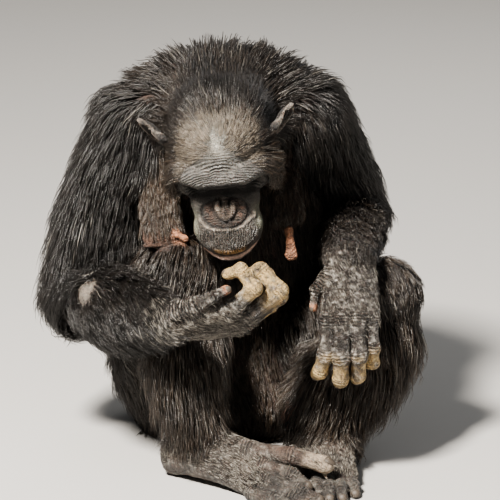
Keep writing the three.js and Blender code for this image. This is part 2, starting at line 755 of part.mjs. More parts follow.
const TOE = {
  hallux: [14, 13, 11.5],
  second: [10.5, 10, 8],
  third: [10.5, 10, 8],
  fourth: [10, 9.5, 7.5],
  fifth: [9.5, 9, 7.5],
};

// The palms and soles.
const ENDS = {
  hand_r: new Limb(HANDS.r.palm, HANDS.r.across, { dome: 0.6 }),
  hand_l: new Limb(HANDS.l.palm, HANDS.l.across, { dome: 0.6 }),
  foot_r: new Limb(FEET.r.sole, FEET.r.across, { dome: 0.75 }),
  foot_l: new Limb(FEET.l.sole, FEET.l.across, { dome: 0.75 }),
};
const endNode = (name) => (grow = 0) => [ENDS[name].solid(SIDES.palm, 6, grow)];

// Every node with its pieces, in the order in which each is cut clear of those before it.
const NODES = [
  ...bothSides.map(([s, side]) => [`eye_${s}`, "eye", eyeball(side)]),
  ["head", "face", head],
  ...bothSides.map(([s, side]) => [`ear_${s}`, "ear", ear(side)]),
];
for (const [s] of bothSides) {
  const hand = HANDS[s];
  NODES.push([`hand_${s}`, "hand", endNode(`hand_${s}`)]);
  NODES.push([`thumb_${s}`, "hand", digitNode(hand.thumb, THUMB, hand.across)]);
  for (const [name, joints] of Object.entries(hand.fingers)) {
    NODES.push([`finger_${name}_${s}`, "hand", digitNode(joints, FINGER[name], hand.across)]);
  }
  const foot = FEET[s];
  NODES.push([`foot_${s}`, "foot", endNode(`foot_${s}`)]);
  for (const [name, joints] of Object.entries(foot.toes)) {
    NODES.push([`toe_${name}_${s}`, "foot", digitNode(joints, TOE[name], foot.across)]);
  }
  NODES.push([`breast_${s}`, "breast", breast(BREASTS[s])]);
}
for (const [name, entry] of Object.entries(LIMBS)) NODES.push([name, "coat", limbNode(entry)]);

const meet = (a, b) =>
  [0, 1, 2].every((k) => a.min[k] < b.max[k] + GAP && b.min[k] < a.max[k] + GAP);

// The biggest closed body of a solid: what a cut leaves loose is dropped.
function largest(solid) {
  const bodies = solid.decompose().sort((a, b) => b.volume() - a.volume());
  return bodies[0];
}

// A solid's triangles, with corners nearer than WELD made one and the slivers this leaves dropped.
function welded(solid) {
  const { vertProperties, triVerts } = solid.getMesh();
  const geometry = new THREE.BufferGeometry();
  geometry.setAttribute("position", new THREE.BufferAttribute(new Float32Array(vertProperties), 3));
  geometry.setIndex([...triVerts]);
  const merged = mergeVertices(geometry, WELD);
  const corners = merged.index.array;
  const kept = [];
  for (let i = 0; i < corners.length; i += 3) {
    const [a, b, c] = [corners[i], corners[i + 1], corners[i + 2]];
    if (a !== b && b !== c && c !== a) kept.push(a, b, c);
  }
  merged.setIndex(kept);
  return merged;
}

function meshOf(solid, name, finish) {
  const geometry = welded(solid);
  geometry.computeVertexNormals();
  const mesh = new THREE.Mesh(geometry, new THREE.MeshStandardMaterial({ metalness: 0, ...finish }));
  mesh.name = name;
  return mesh;
}

const chimpanzee = new THREE.Group();
const placed = [];
for (const [name, finish, pieces] of NODES) {
  let solid = union(pieces(0)).trimByPlane([0, 0, 1], FLOOR);
  for (const other of placed) {
    if (meet(solid.boundingBox(), other.box)) solid = solid.subtract(other.grown);
  }
  const grown = union(pieces(GAP));
  placed.push({ grown, box: grown.boundingBox() });
  chimpanzee.add(meshOf(largest(solid), name, COLOURS[finish]));
}

export default chimpanzee;
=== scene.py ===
"""A life-size seated chimpanzee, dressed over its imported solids.

One skin covers the solids of flesh, with eyes, nails and a coat of fine tufts over it. Places and
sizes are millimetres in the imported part's frame, as in the part's own source; meshes are made in
metres. +Z is up, the animal faces -Y and its left side is towards +X.
"""

from __future__ import annotations

import logging
import math
from collections.abc import Callable, Iterable
from concurrent.futures import ThreadPoolExecutor
from dataclasses import dataclass

import bpy
import numpy as np
from mathutils import Matrix, Vector, kdtree

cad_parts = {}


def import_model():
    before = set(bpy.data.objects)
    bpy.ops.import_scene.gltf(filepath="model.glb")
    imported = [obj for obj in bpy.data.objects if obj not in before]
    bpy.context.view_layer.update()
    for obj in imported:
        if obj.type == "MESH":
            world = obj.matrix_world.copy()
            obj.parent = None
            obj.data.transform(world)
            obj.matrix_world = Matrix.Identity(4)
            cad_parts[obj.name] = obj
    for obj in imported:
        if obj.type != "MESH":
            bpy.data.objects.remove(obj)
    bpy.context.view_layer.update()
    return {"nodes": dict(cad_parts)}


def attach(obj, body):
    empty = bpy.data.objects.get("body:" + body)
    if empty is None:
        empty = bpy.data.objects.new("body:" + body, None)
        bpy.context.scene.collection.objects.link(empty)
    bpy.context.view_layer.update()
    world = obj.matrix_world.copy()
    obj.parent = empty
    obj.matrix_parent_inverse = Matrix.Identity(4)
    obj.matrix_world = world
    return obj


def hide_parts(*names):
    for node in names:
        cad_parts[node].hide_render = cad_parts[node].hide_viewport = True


LOG = logging.getLogger("chimpanzee")
MM = 0.001
BODY = "root"
FAR_OFF = 1e9
Point = tuple[float, float, float]
Array = np.ndarray


def unit(vectors: Array) -> Array:
    """Vectors scaled to a length of one."""
    return vectors / np.maximum(np.linalg.norm(vectors, axis=-1, keepdims=True), 1e-9)


def dot(a: Array, b: Array) -> Array:
    """Row by row products of two sets of vectors."""
    return np.sum(a * b, axis=-1)


def ramp(x: Array, low: float, high: float) -> Array:
    """0 at low, 1 at high and smooth between; low may lie above high."""
    t = np.clip((x - low) / (high - low), 0.0, 1.0)
    return t * t * (3.0 - 2.0 * t)


def bump(x: Array, centre: float, half: float) -> Array:
    """1 at the centre and 0 beyond half to either side."""
    return 1.0 - ramp(np.abs(x - centre), 0.0, half)


def soft_min(a: Array, b: Array, k: Array | float) -> Array:
    """The lesser of two distances, rounded over a width k where they meet."""
    h = np.maximum(k - np.abs(a - b), 0.0) / np.maximum(k, 1e-6)
    return np.minimum(a, b) - h * h * k * 0.25


def soft_cut(a: Array, b: Array, k: float) -> Array:
    """What is left of form a once form b is taken out of it."""
    return -soft_min(-a, b, k)


def mix(a: Array, b: Iterable[float], share: Array) -> Array:
    """Colours blended towards b by a share for each row."""
    return a + (np.asarray(b, dtype=np.float32) - a) * share[:, None]


def tiled(colour: Point, count: int) -> Array:
    """One colour for each of a number of places."""
    return np.tile(np.array(colour, dtype=np.float32), (count, 1))


def distance_from(points: Array, place: Point) -> Array:
    """How far places are from one place."""
    return np.linalg.norm(points - np.array(place), axis=1)


def nearest_on(a: Array, b: Array, points: Array) -> tuple[Array, Array]:
    """The nearest place on a straight span to each of some points.

    Args:
        a: where the span starts.
        b: where it ends.
        points: the points.

    Returns:
        Its share of the way from a to b, and how far off the point is.
    """
    span = b - a
    share = np.clip((points - a) @ span / (span @ span), 0, 1)
    return share, np.linalg.norm(points - (a + share[:, None] * span), axis=1)


class Noise:
    """Smooth random values from -1 to 1 over space, the same in each run."""

    def __init__(self, seed: int, size: int = 32) -> None:
        """Draws the lattice.

        Args:
            seed: what the draws start from.
            size: cells of the lattice before it repeats.
        """
        self.size = size
        self.lattice = np.random.default_rng(seed).uniform(-1, 1, (size, size, size)).astype(np.float32)

    def __call__(self, points: Array, scale: float) -> Array:
        """Values at places.

        Args:
            points: places in millimetres.
            scale: millimetres between lattice points.

        Returns:
            One value for each place.
        """
        q = np.asarray(points, dtype=np.float64) / scale
        base = np.floor(q).astype(int)
        f = q - base
        f = f * f * (3.0 - 2.0 * f)
        total = np.zeros(len(q))
        for corner in range(8):
            offset = np.array([corner & 1, (corner >> 1) & 1, corner >> 2])
            index = (base + offset) % self.size
            weight = np.prod(np.where(offset == 1, f, 1.0 - f), axis=1)
            total += weight * self.lattice[index[:, 0], index[:, 1], index[:, 2]]
        return total


NOISE = Noise(5)


@dataclass(frozen=True)
class Station:
    """One oval section of a limb.

    Attributes:
        at: the section's centre.
        wide: half its size along the limb's across direction.
        deep: half its size square to that.
        coat: how far the tips of the hair stand over the flesh.
    """

    at: Point
    wide: float
    deep: float
    coat: float = 0.0


def eased(values: Array, t: Array) -> Array:
    """Values eased along equally spaced stations, with t from 0 to 1."""
    place = np.clip(t, 0, 1) * (len(values) - 1)
    i = np.minimum(np.floor(place).astype(int), len(values) - 2)
    f = (place - i).reshape((-1,) + (1,) * (values.ndim - 1))
    a, b = values[i], values[i + 1]
    before, after = values[np.maximum(i - 1, 0)], values[np.minimum(i + 2, len(values) - 1)]
    return b * f + a * (1 - f) + (f * (1 - f) * ((a - before) * (1 - f) + (b - after) * f)) / 2


@dataclass
class Place:
    """Where points lie on a limb: their distance from its skin and their place round it."""

    distance: Array
    t: Array
    angle: Array
    along: Array


class Limb:
    """A limb or the trunk: oval sections along a curve."""

    SAMPLES = 13

    def __init__(
        self, stations: list[Station], across: Point, sparse: float = 0.0, dome: float = 1.0
    ) -> None:
        """Samples the limb along its curve.

        Args:
            stations: the sections, evenly numbered along the limb.
            across: the direction that the sections' wide size lies along.
            sparse: how much thinner the coat is at the front.
            dome: how far the ends bulge, as a share of their size.
        """
        self.sparse = sparse
        self.dome = dome
        ts = np.linspace(0, 1, self.SAMPLES)
        knots = np.array([s.at for s in stations], dtype=np.float64)
        self.centre, self.along = self._curve(knots, ts)
        sizes = np.array([(s.wide, s.deep, s.coat) for s in stations], dtype=np.float64)
        self.sizes = eased(sizes, ts)
        u = np.array(across) - self.along * (self.along @ np.array(across))[:, None]
        self.u = unit(u)
        self.v = np.cross(self.along, self.u)
        reach = self.sizes[:, :2].max()
        self.low = self.centre.min(axis=0) - reach
        self.high = self.centre.max(axis=0) + reach

    @staticmethod
    def _curve(knots: Array, ts: Array) -> tuple[Array, Array]:
        """Places and directions on a centripetal curve through the knots.

        Args:
            knots: the stations' centres.
            ts: shares of the way along, from 0 to 1.

        Returns:
            The places and the unit directions there.
        """
        ext = np.vstack([2 * knots[0] - knots[1], knots, 2 * knots[-1] - knots[-2]])
        places, ways = [], []
        for t in ts:
            x = t * (len(knots) - 1)
            i = min(int(x), len(knots) - 2)
            f = x - i
            p0, p1, p2, p3 = ext[i : i + 4]
            d0, d1, d2 = (math.sqrt(np.linalg.norm(b - a)) for a, b in ((p0, p1), (p1, p2), (p2, p3)))
            m1 = ((p1 - p0) / d0 - (p2 - p0) / (d0 + d1) + (p2 - p1) / d1) * d1
            m2 = ((p2 - p1) / d1 - (p3 - p1) / (d1 + d2) + (p3 - p2) / d2) * d1
            c2 = -3 * p1 + 3 * p2 - 2 * m1 - m2
            c3 = 2 * p1 - 2 * p2 + m1 + m2
            places.append(p1 + m1 * f + c2 * f**2 + c3 * f**3)
            ways.append(m1 + 2 * c2 * f + 3 * c3 * f**2)
        return np.array(places), unit(np.array(ways))

    def locate(self, points: Array) -> Place:
        """Where points lie on the limb.

        Args:
            points: places in space.

        Returns:
            Distance from the limb's skin, share of its length, angle round it, and direction.
        """
        count = len(points)
        best = Place(np.full(count, FAR_OFF), np.zeros(count), np.zeros(count), np.zeros((count, 3)))
        for i in range(self.SAMPLES - 1):
            span = self.centre[i + 1] - self.centre[i]
            h = np.clip((points - self.centre[i]) @ span / (span @ span), 0, 1)[:, None]
            away = points - (self.centre[i] + h * span)
            u = self.u[i] + h * (self.u[i + 1] - self.u[i])
            v = self.v[i] + h * (self.v[i + 1] - self.v[i])
            along = self.along[i] + h * (self.along[i + 1] - self.along[i])
            size = self.sizes[i] + h * (self.sizes[i + 1] - self.sizes[i])
            wide, deep = size[:, 0], size[:, 1]
            x, y, z = dot(away, u), dot(away, v), dot(away, along)
            end = np.minimum(wide, deep) * self.dome
            k0 = np.sqrt((x / wide) ** 2 + (y / deep) ** 2 + (z / end) ** 2)
            k1 = np.sqrt((x / wide**2) ** 2 + (y / deep**2) ** 2 + (z / end**2) ** 2)
            d = np.where(k1 > 1e-9, k0 * (k0 - 1) / np.maximum(k1, 1e-9), -end)
            nearer = d < best.distance
            best.distance = np.where(nearer, d, best.distance)
            best.t = np.where(nearer, (i + h[:, 0]) / (self.SAMPLES - 1), best.t)
            best.angle = np.where(nearer, np.arctan2(y / deep, x / wide), best.angle)
            best.along = np.where(nearer[:, None], along, best.along)
        return best

    def distance(self, points: Array) -> Array:
        """Distance from the limb's skin, below zero inside."""
        return self.locate(points).distance

    def coat(self, place: Place) -> Array:
        """How high the tips of the coat stand over the flesh at places on the limb."""
        thinned = 1 - self.sparse * np.maximum(0, -np.sin(place.angle))
        return np.interp(place.t, np.linspace(0, 1, self.SAMPLES), self.sizes[:, 2]) * thinned


class Chain:
    """A finger or toe: round bones between joints, thick at each joint."""

    WAIST = 0.11
    BLEND = 3.0

    def __init__(self, joints: list[tuple]) -> None:
        """Keeps the joints.

        Args:
            joints: centre of each joint and the radius there, from the root to the tip.
        """
        rows = np.array(joints, dtype=np.float64)
        self.joints, self.radii = rows[:, :3], rows[:, 3]
        self.low = self.joints.min(axis=0) - self.radii.max()
        self.high = self.joints.max(axis=0) + self.radii.max()
        self.ends = np.cumsum([0, *np.linalg.norm(np.diff(self.joints, axis=0), axis=1)])

    def distance(self, points: Array) -> Array:
        """Distance from the digit's skin, below zero inside."""
        total = np.full(len(points), FAR_OFF)
        for i in range(len(self.radii) - 1):
            share, away = nearest_on(self.joints[i], self.joints[i + 1], points)
            radius = self.radii[i] + (self.radii[i + 1] - self.radii[i]) * share
            waist = 1 - self.WAIST * np.sin(np.pi * share) ** 2
            total = soft_min(total, away - radius * waist, self.BLEND)
        return total

    def reach(self, points: Array) -> Array:
        """How far along the digit places lie, in millimetres from its root."""
        nearest, place = np.full(len(points), FAR_OFF), np.zeros(len(points))
        for start, a, b in zip(self.ends, self.joints[:-1], self.joints[1:]):
            _, away = nearest_on(a, b, points)
            length = np.linalg.norm(b - a)
            along = (points - a) @ (b - a) / length
            if start:
                along = np.maximum(along, 0)
            place = np.where(away < nearest, start + along, place)
            nearest = np.minimum(away, nearest)
        return place

    def back(self) -> Array:
        """The direction of the digit's back at its tip, away from the side it bends towards."""
        a, b, c = self.joints[-3:]
        bend = b - (a + c) / 2
        way = unit(c - b)
        return unit(bend - way * (bend @ way))


def between(a: Point, b: Point, share: float, shift: Point = (0, 0, 0)) -> Point:
    """A place part of the way from a to b, moved by a shift."""
    return tuple(p + (q - p) * share + s for p, q, s in zip(a, b, shift))


SIDES = {"r": -1, "l": 1}
LEFTWARD = (1.0, 0.0, 0.0)
UPWARD = (0.0, 0.0, 1.0)


# Places of the joints, as in the part's source.
JOINTS = {
    "shoulder": {"r": (-124, -55, 440), "l": (106, -60, 453)},
    "elbow": {"r": (-204, -100, 212), "l": (174, 62, 280)},
    "wrist": {"r": (-68, -308, 243), "l": (160, -190, 296)},
    "hip": {"r": (-82, 12, 88), "l": (76, -2, 92)},
    "knee": {"r": (-60, -150, 262), "l": (213, -140, 231)},
    "ankle": {"r": (-42, -232, 66), "l": (135, -168, 60)},
}


LIMB_ENDS = {
    "upper_arm": ("shoulder", "elbow"),
    "forearm": ("elbow", "wrist"),
    "thigh": ("hip", "knee"),
    "shin": ("knee", "ankle"),
}
# Each section of a limb: its share of the way between the joints, half its width, half its depth and its
# coat, with how far its centre is moved where it is.
SECTIONS = {
    "upper_arm_r": [
        (0, 54, 54, 17),
        (0.35, 51, 50, 25, (-5, 0, 0)),
        (0.7, 46, 45, 29, (-3, 0, 0)),
        (1, 37, 37, 18),
    ],
    "upper_arm_l": [(0, 51, 52, 15), (0.35, 47, 48, 19), (0.7, 42, 44, 22), (1, 36, 37, 16)],
    "forearm_r": [(0, 33, 33, 14), (0.33, 42, 37, 22, (0, 0, -2)), (0.68, 33, 30, 16), (1, 25, 19, 3)],
    "forearm_l": [(0, 31, 32, 10), (0.33, 38, 36, 13), (0.68, 35, 30, 8), (1, 32, 22, 3)],
    "thigh_r": [
        (0, 74, 76, 18),
        (0.4, 66, 68, 24),
        (0.75, 57, 56, 24, (-4, 0, 0)),
        (1, 50, 46, 12, (-3, 0, 0)),
    ],
    "thigh_l": [(0, 72, 74, 16), (0.4, 64, 66, 20), (0.75, 50, 54, 16), (1, 44, 44, 6)],
    "shin_r": [
        (0.06, 42, 41, 6),
        (0.33, 44, 46, 26, (-6, 6, 0)),
        (0.68, 38, 38, 26, (-8, 4, 0)),
        (1, 29, 30, 8),
    ],
    "shin_l": [
        (0.06, 39, 39, 4),
        (0.33, 48, 48, 34, (13, 8, 0)),
        (0.68, 54, 40, 30, (0, 6, 0)),
        (1, 48, 33, 10, (-23, -2, -2)),
    ],
}
TRUNK = [
    ((8, -22, 20), 120, 112, 20),
    ((0, 0, 75), 126, 114, 24),
    ((0, 14, 140), 128, 108, 26),
    ((0, 20, 215), 124, 104, 27),
    ((0, 18, 295), 132, 100, 28),
    ((-1, -2, 375), 138, 96, 30),
    ((-6, -40, 447), 138, 88, 28),
    ((-6, -84, 487), 112, 72, 18),
]
NAPE = [((-5, -80, 462), 72, 62, 20), ((-7, -122, 474), 66, 58, 18), ((-9, -165, 470), 60, 54, 12)]


def body_limbs() -> dict[str, Limb]:
    """The trunk and limbs, each by the name of the node that it stands for."""
    limbs = {
        "torso": Limb([Station(*row) for row in TRUNK], LEFTWARD, sparse=0.6, dome=0.5),
        "neck": Limb([Station(*row) for row in NAPE], LEFTWARD),
    }
    for name, rows in SECTIONS.items():
        part, side = name[:-2], name[-1]
        ends = [JOINTS[joint][side] for joint in LIMB_ENDS[part]]
        stations = [Station(between(*ends, row[0], *row[4:]), *row[1:4]) for row in rows]
        limbs[name] = Limb(stations, UPWARD if name == "forearm_r" else LEFTWARD)
    return limbs


@dataclass(frozen=True)
class Hand:
    """A hand or foot: its palm or sole and its digits, as in the part's source.

    Attributes:
        across: the direction that the widths lie along.
        palm: the sections of the palm or sole.
        digits: the joints of each finger or toe, from the root to the tip, with its radius at each.
        dome: how far the palm's ends bulge, as a share of their size.
        pale: where the pale tip of a digit starts and where it is full, in lengths of its first bone.
    """

    across: Point
    palm: list[Station]
    digits: dict[str, list[tuple]]
    dome: float = 0.6
    pale: tuple[float, float] = (0.9, 1.3)


HANDS = {
    "hand_r": Hand(
        across=(14, 53, -43),
        pale=(0.35, 1.0),
        palm=[
            Station(JOINTS["wrist"]["r"], 26, 19),
            Station((-38, -312, 246), 38, 20),
            Station((0, -310, 249), 41, 16),
            Station((10, -308, 250), 39, 13),
        ],
        digits={
            "thumb_r": [
                (-66, -330, 267, 14), (-43, -342, 277, 13), (-21, -346, 290, 8.5), (-2, -345, 300, 6)
            ],
            "finger_index_r": [
                (0, -332, 266, 12), (34, -332, 298, 11), (16, -325, 320, 10), (-1, -317, 312, 7.5)
            ],
            "finger_middle_r": [
                (20, -318, 251, 12.5), (66, -316, 289, 12), (42, -302, 313, 10.5), (24, -292, 303, 8.5)
            ],
            "finger_ring_r": [
                (21, -300, 240, 12), (66, -292, 274, 11.5), (50, -276, 298, 10.5), (36, -268, 288, 9)
            ],
            "finger_little_r": [
                (14, -284, 228, 11), (54, -272, 256, 10.5), (44, -256, 278, 9.5), (34, -250, 268, 8)
            ],
        },
    ),
    "hand_l": Hand(
        across=(1, 0.15, 0),
        pale=(0.85, 1.4),
        palm=[
            Station(JOINTS["wrist"]["l"], 32, 21),
            Station((161, -217, 268), 36, 18),
            Station((160, -246, 240), 39, 15),
            Station((160, -252, 232), 37, 13),
        ],
        digits={
            "thumb_l": [(130, -208, 276, 11), (114, -226, 262, 8), (112, -238, 241, 5.5)],
            "finger_index_l": [
                (131, -256, 228, 12), (127, -266, 184, 11.5), (121, -254, 158, 10.5), (117, -236, 148, 9)
            ],
            "finger_middle_l": [
                (150, -260, 230, 12.5), (148, -272, 182, 12), (148, -258, 148, 11), (147, -238, 138, 9.5)
            ],
            "finger_ring_l": [
                (170, -257, 229, 12), (172, -268, 184, 11.5), (171, -254, 152, 10.5), (170, -236, 142, 9)
            ],
            "finger_little_l": [
                (187, -247, 226, 11), (190, -256, 192, 10.5), (190, -246, 168, 9.5), (188, -230, 160, 8)
            ],
        },
    ),
    "foot_r": Hand(
        dome=0.75,
        across=(0.32, 0.6, 0.72),
        palm=[
            Station((-72, -212, 24), 27, 24),
            Station((-42, -232, 36), 34, 30),
            Station((4, -262, 34), 35, 22),
            Station((42, -292, 25), 33, 15),
        ],
        digits={
            "toe_hallux_r": [(26, -268, 52, 14), (84, -286, 50, 13), (128, -300, 43, 11.5)],
            "toe_second_r": [(48, -292, 38, 10.5), (84, -312, 34, 10), (102, -324, 22, 8)],
            "toe_third_r": [(50, -304, 23, 10.5), (94, -326, 18, 10), (118, -334, 6, 8)],
            "toe_fourth_r": [(44, -312, 12, 10), (82, -334, 10, 9.5), (100, -342, 5, 7.5)],
            "toe_fifth_r": [(30, -314, 8, 9.5), (60, -334, 7, 9), (76, -342, 5, 7.5)],
        },
    ),
    "foot_l": Hand(
        dome=0.75,
        across=LEFTWARD,
        palm=[
            Station((128, -140, 23), 34, 25),
            Station((124, -172, 33), 43, 33),
            Station((135, -218, 25), 33, 27),
            Station((134, -262, 17), 36, 18),
        ],
        digits={
            "toe_hallux_l": [(106, -236, 17, 14), (86, -270, 14, 13), (78, -300, 10, 11.5)],
            "toe_second_l": [(118, -270, 17, 10.5), (116, -304, 16, 10), (116, -320, 6, 8)],
            "toe_third_l": [(132, -274, 16, 10.5), (132, -312, 15, 10), (133, -329, 6, 8)],
            "toe_fourth_l": [(146, -272, 15, 10), (148, -308, 14, 9.5), (150, -323, 5, 7.5)],
            "toe_fifth_l": [(160, -264, 13, 9.5), (164, -294, 12, 9), (167, -308, 5, 7.5)],
        },
    ),
}


class Palm:
    """A hand or foot as one form: palm or sole with its digits."""

    DIGIT_BLEND = 1.2
    FINGER_BLEND = 9.0
    THUMB_BLEND = 3.0

    def __init__(self, hand: Hand) -> None:
        """Builds the palm and the digits.

        Args:
            hand: the hand's or foot's sizes.
        """
        across = unit(np.array(hand.across, dtype=np.float64))
        self.limb = Limb(hand.palm, tuple(across), dome=hand.dome)
        self.digits = {name: Chain(joints) for name, joints in hand.digits.items()}
        self.pale = hand.pale
        parts = [self.limb, *self.digits.values()]
        self.low = np.min([part.low for part in parts], axis=0)
        self.high = np.max([part.high for part in parts], axis=0)

    def digit_distance(self, points: Array, thumb: bool | None = None) -> Array:
        """Distance from the nearest digit's skin.

        Args:
            points: places.
            thumb: whether only the thumb counts or only the rest, or None for all of them.

        Returns:
            Distances, below zero inside.
        """
        total = np.full(len(points), FAR_OFF)
        for name, chain in self.digits.items():
            if thumb is None or ("thumb" in name) == thumb:
                total = soft_min(total, chain.distance(points), self.DIGIT_BLEND)
        return total

    def distance(self, points: Array) -> Array:
        """Distance from the hand's or foot's skin, below zero inside."""
        total = soft_min(self.limb.distance(points), self.digit_distance(points, False), self.FINGER_BLEND)
        return soft_min(total, self.digit_distance(points, True), self.THUMB_BLEND)


def oval_distance(p: Array, centre: Point, radii: Point) -> Array:
    """Distance, near enough, to an oval."""
    q = p - np.array(centre)
    r = np.array(radii, dtype=np.float64)
    k0 = np.linalg.norm(q / r, axis=1)
    k1 = np.linalg.norm(q / r**2, axis=1)
    return np.where(k1 > 1e-9, k0 * (k0 - 1) / np.maximum(k1, 1e-9), -min(radii))


@dataclass(frozen=True)
class Bar:
    """A round bar through places of the head, added to it or cut out of it.

    Attributes:
        places: what it runs through.
        radius: its radius.
        blend: how widely it joins the head.
        cut: whether it is cut out.
    """

    places: list[Point]
    radius: float
    blend: float
    cut: bool = False

    def worked(self, form: Array, p: Array) -> Array:
        """A form with the bar added or cut out."""
        knots = np.array(self.places, dtype=float)
        away = np.min([nearest_on(a, b, p)[1] for a, b in zip(knots[:-1], knots[1:])], axis=0)
        return (soft_cut if self.cut else soft_min)(form, away - self.radius, self.blend)


def folded(q: Array) -> Array:
    """Places in the head's frame with its right half mirrored onto its left one."""
    return np.column_stack([np.abs(q[:, 0]), q[:, 1:]])


@dataclass(frozen=True)
class EyeSizes:
    """Where the left eye sits in the head's own frame, and its sizes.

    Attributes:
        at: the middle of the eyeball.
        radius: radius of the eyeball.
        lid: thickness of the lids.
        gap: half sizes of the opening between them.
    """

    at: Point = (25, -51, -27)
    radius: float = 12
    lid: float = 2.2
    gap: Point = (9.0, 7.0, 3.2)


@dataclass(frozen=True)
class EarSizes:
    """The left ear in the head's own frame.

    Attributes:
        at: where it stands.
        tall: half its height.
        long: its size from root to rim.
        flare: how far it turns backwards, in degrees.
        splay: how far its top leans out, as a share of its height.
        rim, fold: how far out its rim and its inner fold lie, as shares of its size.
    """

    at: Point = (84, 12, 0)
    tall: float = 28
    long: float = 15
    flare: float = 48
    splay: float = 0.4
    rim: float = 0.93
    fold: float = 0.6


class Head:
    """The head in its own frame: the face looks along -Y and the crown is up.

    Both halves are alike, so the form is worked out for the left half.

    Attributes:
        AT: where its own frame stands.
        NOD, TURN, LEAN: how far it is bent forward, turned and tipped to the side, in degrees.
        MASSES: ovals that make it up, by middle and half sizes.
        BLEND: how widely they join.
        MOUTH: places along the left half of the line between the lips.
        BARS: what is added to the masses, and cut out of them, in that order.
        NOSTRIL: the hole in the left wing of the nose.
        EYE, EAR: the left eye and ear.
        BELOW, ABOVE: how far its box reaches to the low and the high side of its place.
        FORWARD, UP: how much a place's own two levels count in its height on the face.
        BOW: how far the face's markings bow upwards to the sides.
    """

    AT = (-14, -200, 467)
    NOD, TURN, LEAN = 38.0, -1.5, -6.5
    MASSES = {
        "skull": ((0, 6, 2), (60, 68, 55)),
        "occiput": ((0, 40, -22), (50, 46, 44)),
        "temple": ((44, -8, -36), (26, 44, 48)),
        "cheekbone": ((42, -42, -36), (20, 22, 16)),
        "midface": ((0, -48, -50), (30, 18, 30)),
        "malar": ((25, -60, -63), (21, 21, 22)),
        "muzzle": ((0, -80, -91), (46, 37, 34)),
        "lip": ((0, -96, -92), (36, 26, 20)),
        "jaw": ((0, -68, -118), (34, 44, 23)),
        "throat": ((0, -30, -96), (40, 46, 34)),
    }
    BLEND = 12.0
    MOUTH = [(0, -121, -101), (12, -119.5, -100.5), (23, -113, -99), (32, -103, -97), (38, -93, -95)]
    BARS = {
        "brow": Bar([(0, -66, -6), (27, -64, -6), (50, -50, -8)], 14.0, 6.0),
        "socket": Bar([(0, -70, -32), (25, -73, -32), (44, -64, -30)], 12.5, 5.0, cut=True),
        "bridge": Bar([(0, -62, -45), (0, -76, -51), (0, -94, -58)], 5.5, 5.0),
        "wing": Bar([(10.5, -75, -49), (10.0, -84, -54), (3.0, -96, -60)], 4.3, 2.0),
        "upper lip": Bar([(x * 0.94, y + 5, z + 7) for x, y, z in MOUTH], 6.0, 8.0),
        "lower lip": Bar([(x * 0.9, y + 2, z - 8) for x, y, z in MOUTH], 6.5, 6.0),
        "lip line": Bar(MOUTH, 1.0, 2.0, cut=True),
    }
    NOSTRIL = ((5.2, -77.5, -45.5), (1.7, 6.0, 4.0))
    EYE = EyeSizes()
    EAR = EarSizes()
    BELOW, ABOVE = 175, 130
    FORWARD, UP = 0.819, 0.574
    BOW = 0.0035

    def __init__(self) -> None:
        """Works out the head's place."""
        turn = Matrix.Rotation(math.radians(self.LEAN), 3, "Y")
        turn @= Matrix.Rotation(math.radians(self.TURN), 3, "Z")
        turn @= Matrix.Rotation(math.radians(self.NOD), 3, "X")
        self.turn = np.array(turn)
        self.at = np.array(self.AT, dtype=float)
        self.low = self.at - self.BELOW
        self.high = self.at + self.ABOVE

    def local(self, points: Array) -> Array:
        """Places in the head's own frame."""
        return (points - self.at) @ self.turn

    @classmethod
    def height(cls, q: Array) -> Array:
        """How high places stand on the face as seen from above and in front, in the head's frame."""
        return cls.FORWARD * q[:, 1] + cls.UP * q[:, 2]

    def world(self, points: Array) -> Array:
        """Places in the part's frame, from the head's own."""
        return np.asarray(points, dtype=float) @ self.turn.T + self.at

    def ear_place(self, p: Array) -> tuple[Array, Array, Array, Array, Array]:
        """Places on the ear's leaf.

        Args:
            p: places in the head's frame, folded to the left half.

        Returns:
            Distances from the leaf's middle along it, out of it and up it, then the leaf's length at
            that height and the place's share of the way from the middle to its edge.
        """
        ear = self.EAR
        flare = math.radians(ear.flare)
        q = p - np.array(ear.at)
        side = q[:, 0] - ear.splay * q[:, 2]
        x = math.cos(flare) * side + math.sin(flare) * q[:, 1] - ear.long * 0.45
        y = -math.sin(flare) * side + math.cos(flare) * q[:, 1]
        narrowed = ear.long * (1 - 0.55 * ramp(q[:, 2], -5, ear.tall))
        return x, y, q[:, 2], narrowed, np.hypot(x / narrowed, q[:, 2] / ear.tall)

    def ear_distance(self, p: Array) -> Array:
        """Distance to the ear's leaf and rolled rim.

        Args:
            p: places in the head's frame, folded to the left half.

        Returns:
            Distance, below zero inside.
        """
        ear = self.EAR
        x, y, z, narrowed, reach = self.ear_place(p)
        bowl = 9.0 * (1 - reach**2)
        leaf = np.maximum(np.abs(y - bowl) - 1.5, (reach - 1.0) * ear.long)
        theta = np.arctan2(z / ear.tall, x / ear.long)

        def ring(share: float, lift: float, radius: Array | float) -> Array:
            """Distance to an oval ring at a share of the ear's size."""
            rx, rz = narrowed * share * np.cos(theta), ear.tall * share * np.sin(theta)
            return np.sqrt((x - rx) ** 2 + (z - rz) ** 2 + (y - lift) ** 2) - radius

        rim = ring(ear.rim, -0.8, 2.6 + 0.7 * np.sin(theta + 0.6))
        fold = ring(ear.fold, 3.0, 1.9 - 2.4 * ramp(-np.cos(theta - 0.9), 0.1, 0.8))
        form = soft_min(soft_min(leaf, rim, 2.5), fold, 2.5)
        root = oval_distance(np.stack([x, y, z], axis=1), (-15, 4, -5), (6, 5, 9))
        return soft_min(form, root, 6.0)

    def rim(self, q: Array) -> Array:
        """Distance from the edge of the ear's leaf, in the head's frame."""
        return np.abs(self.ear_place(folded(q))[-1] - 0.97) * self.EAR.long

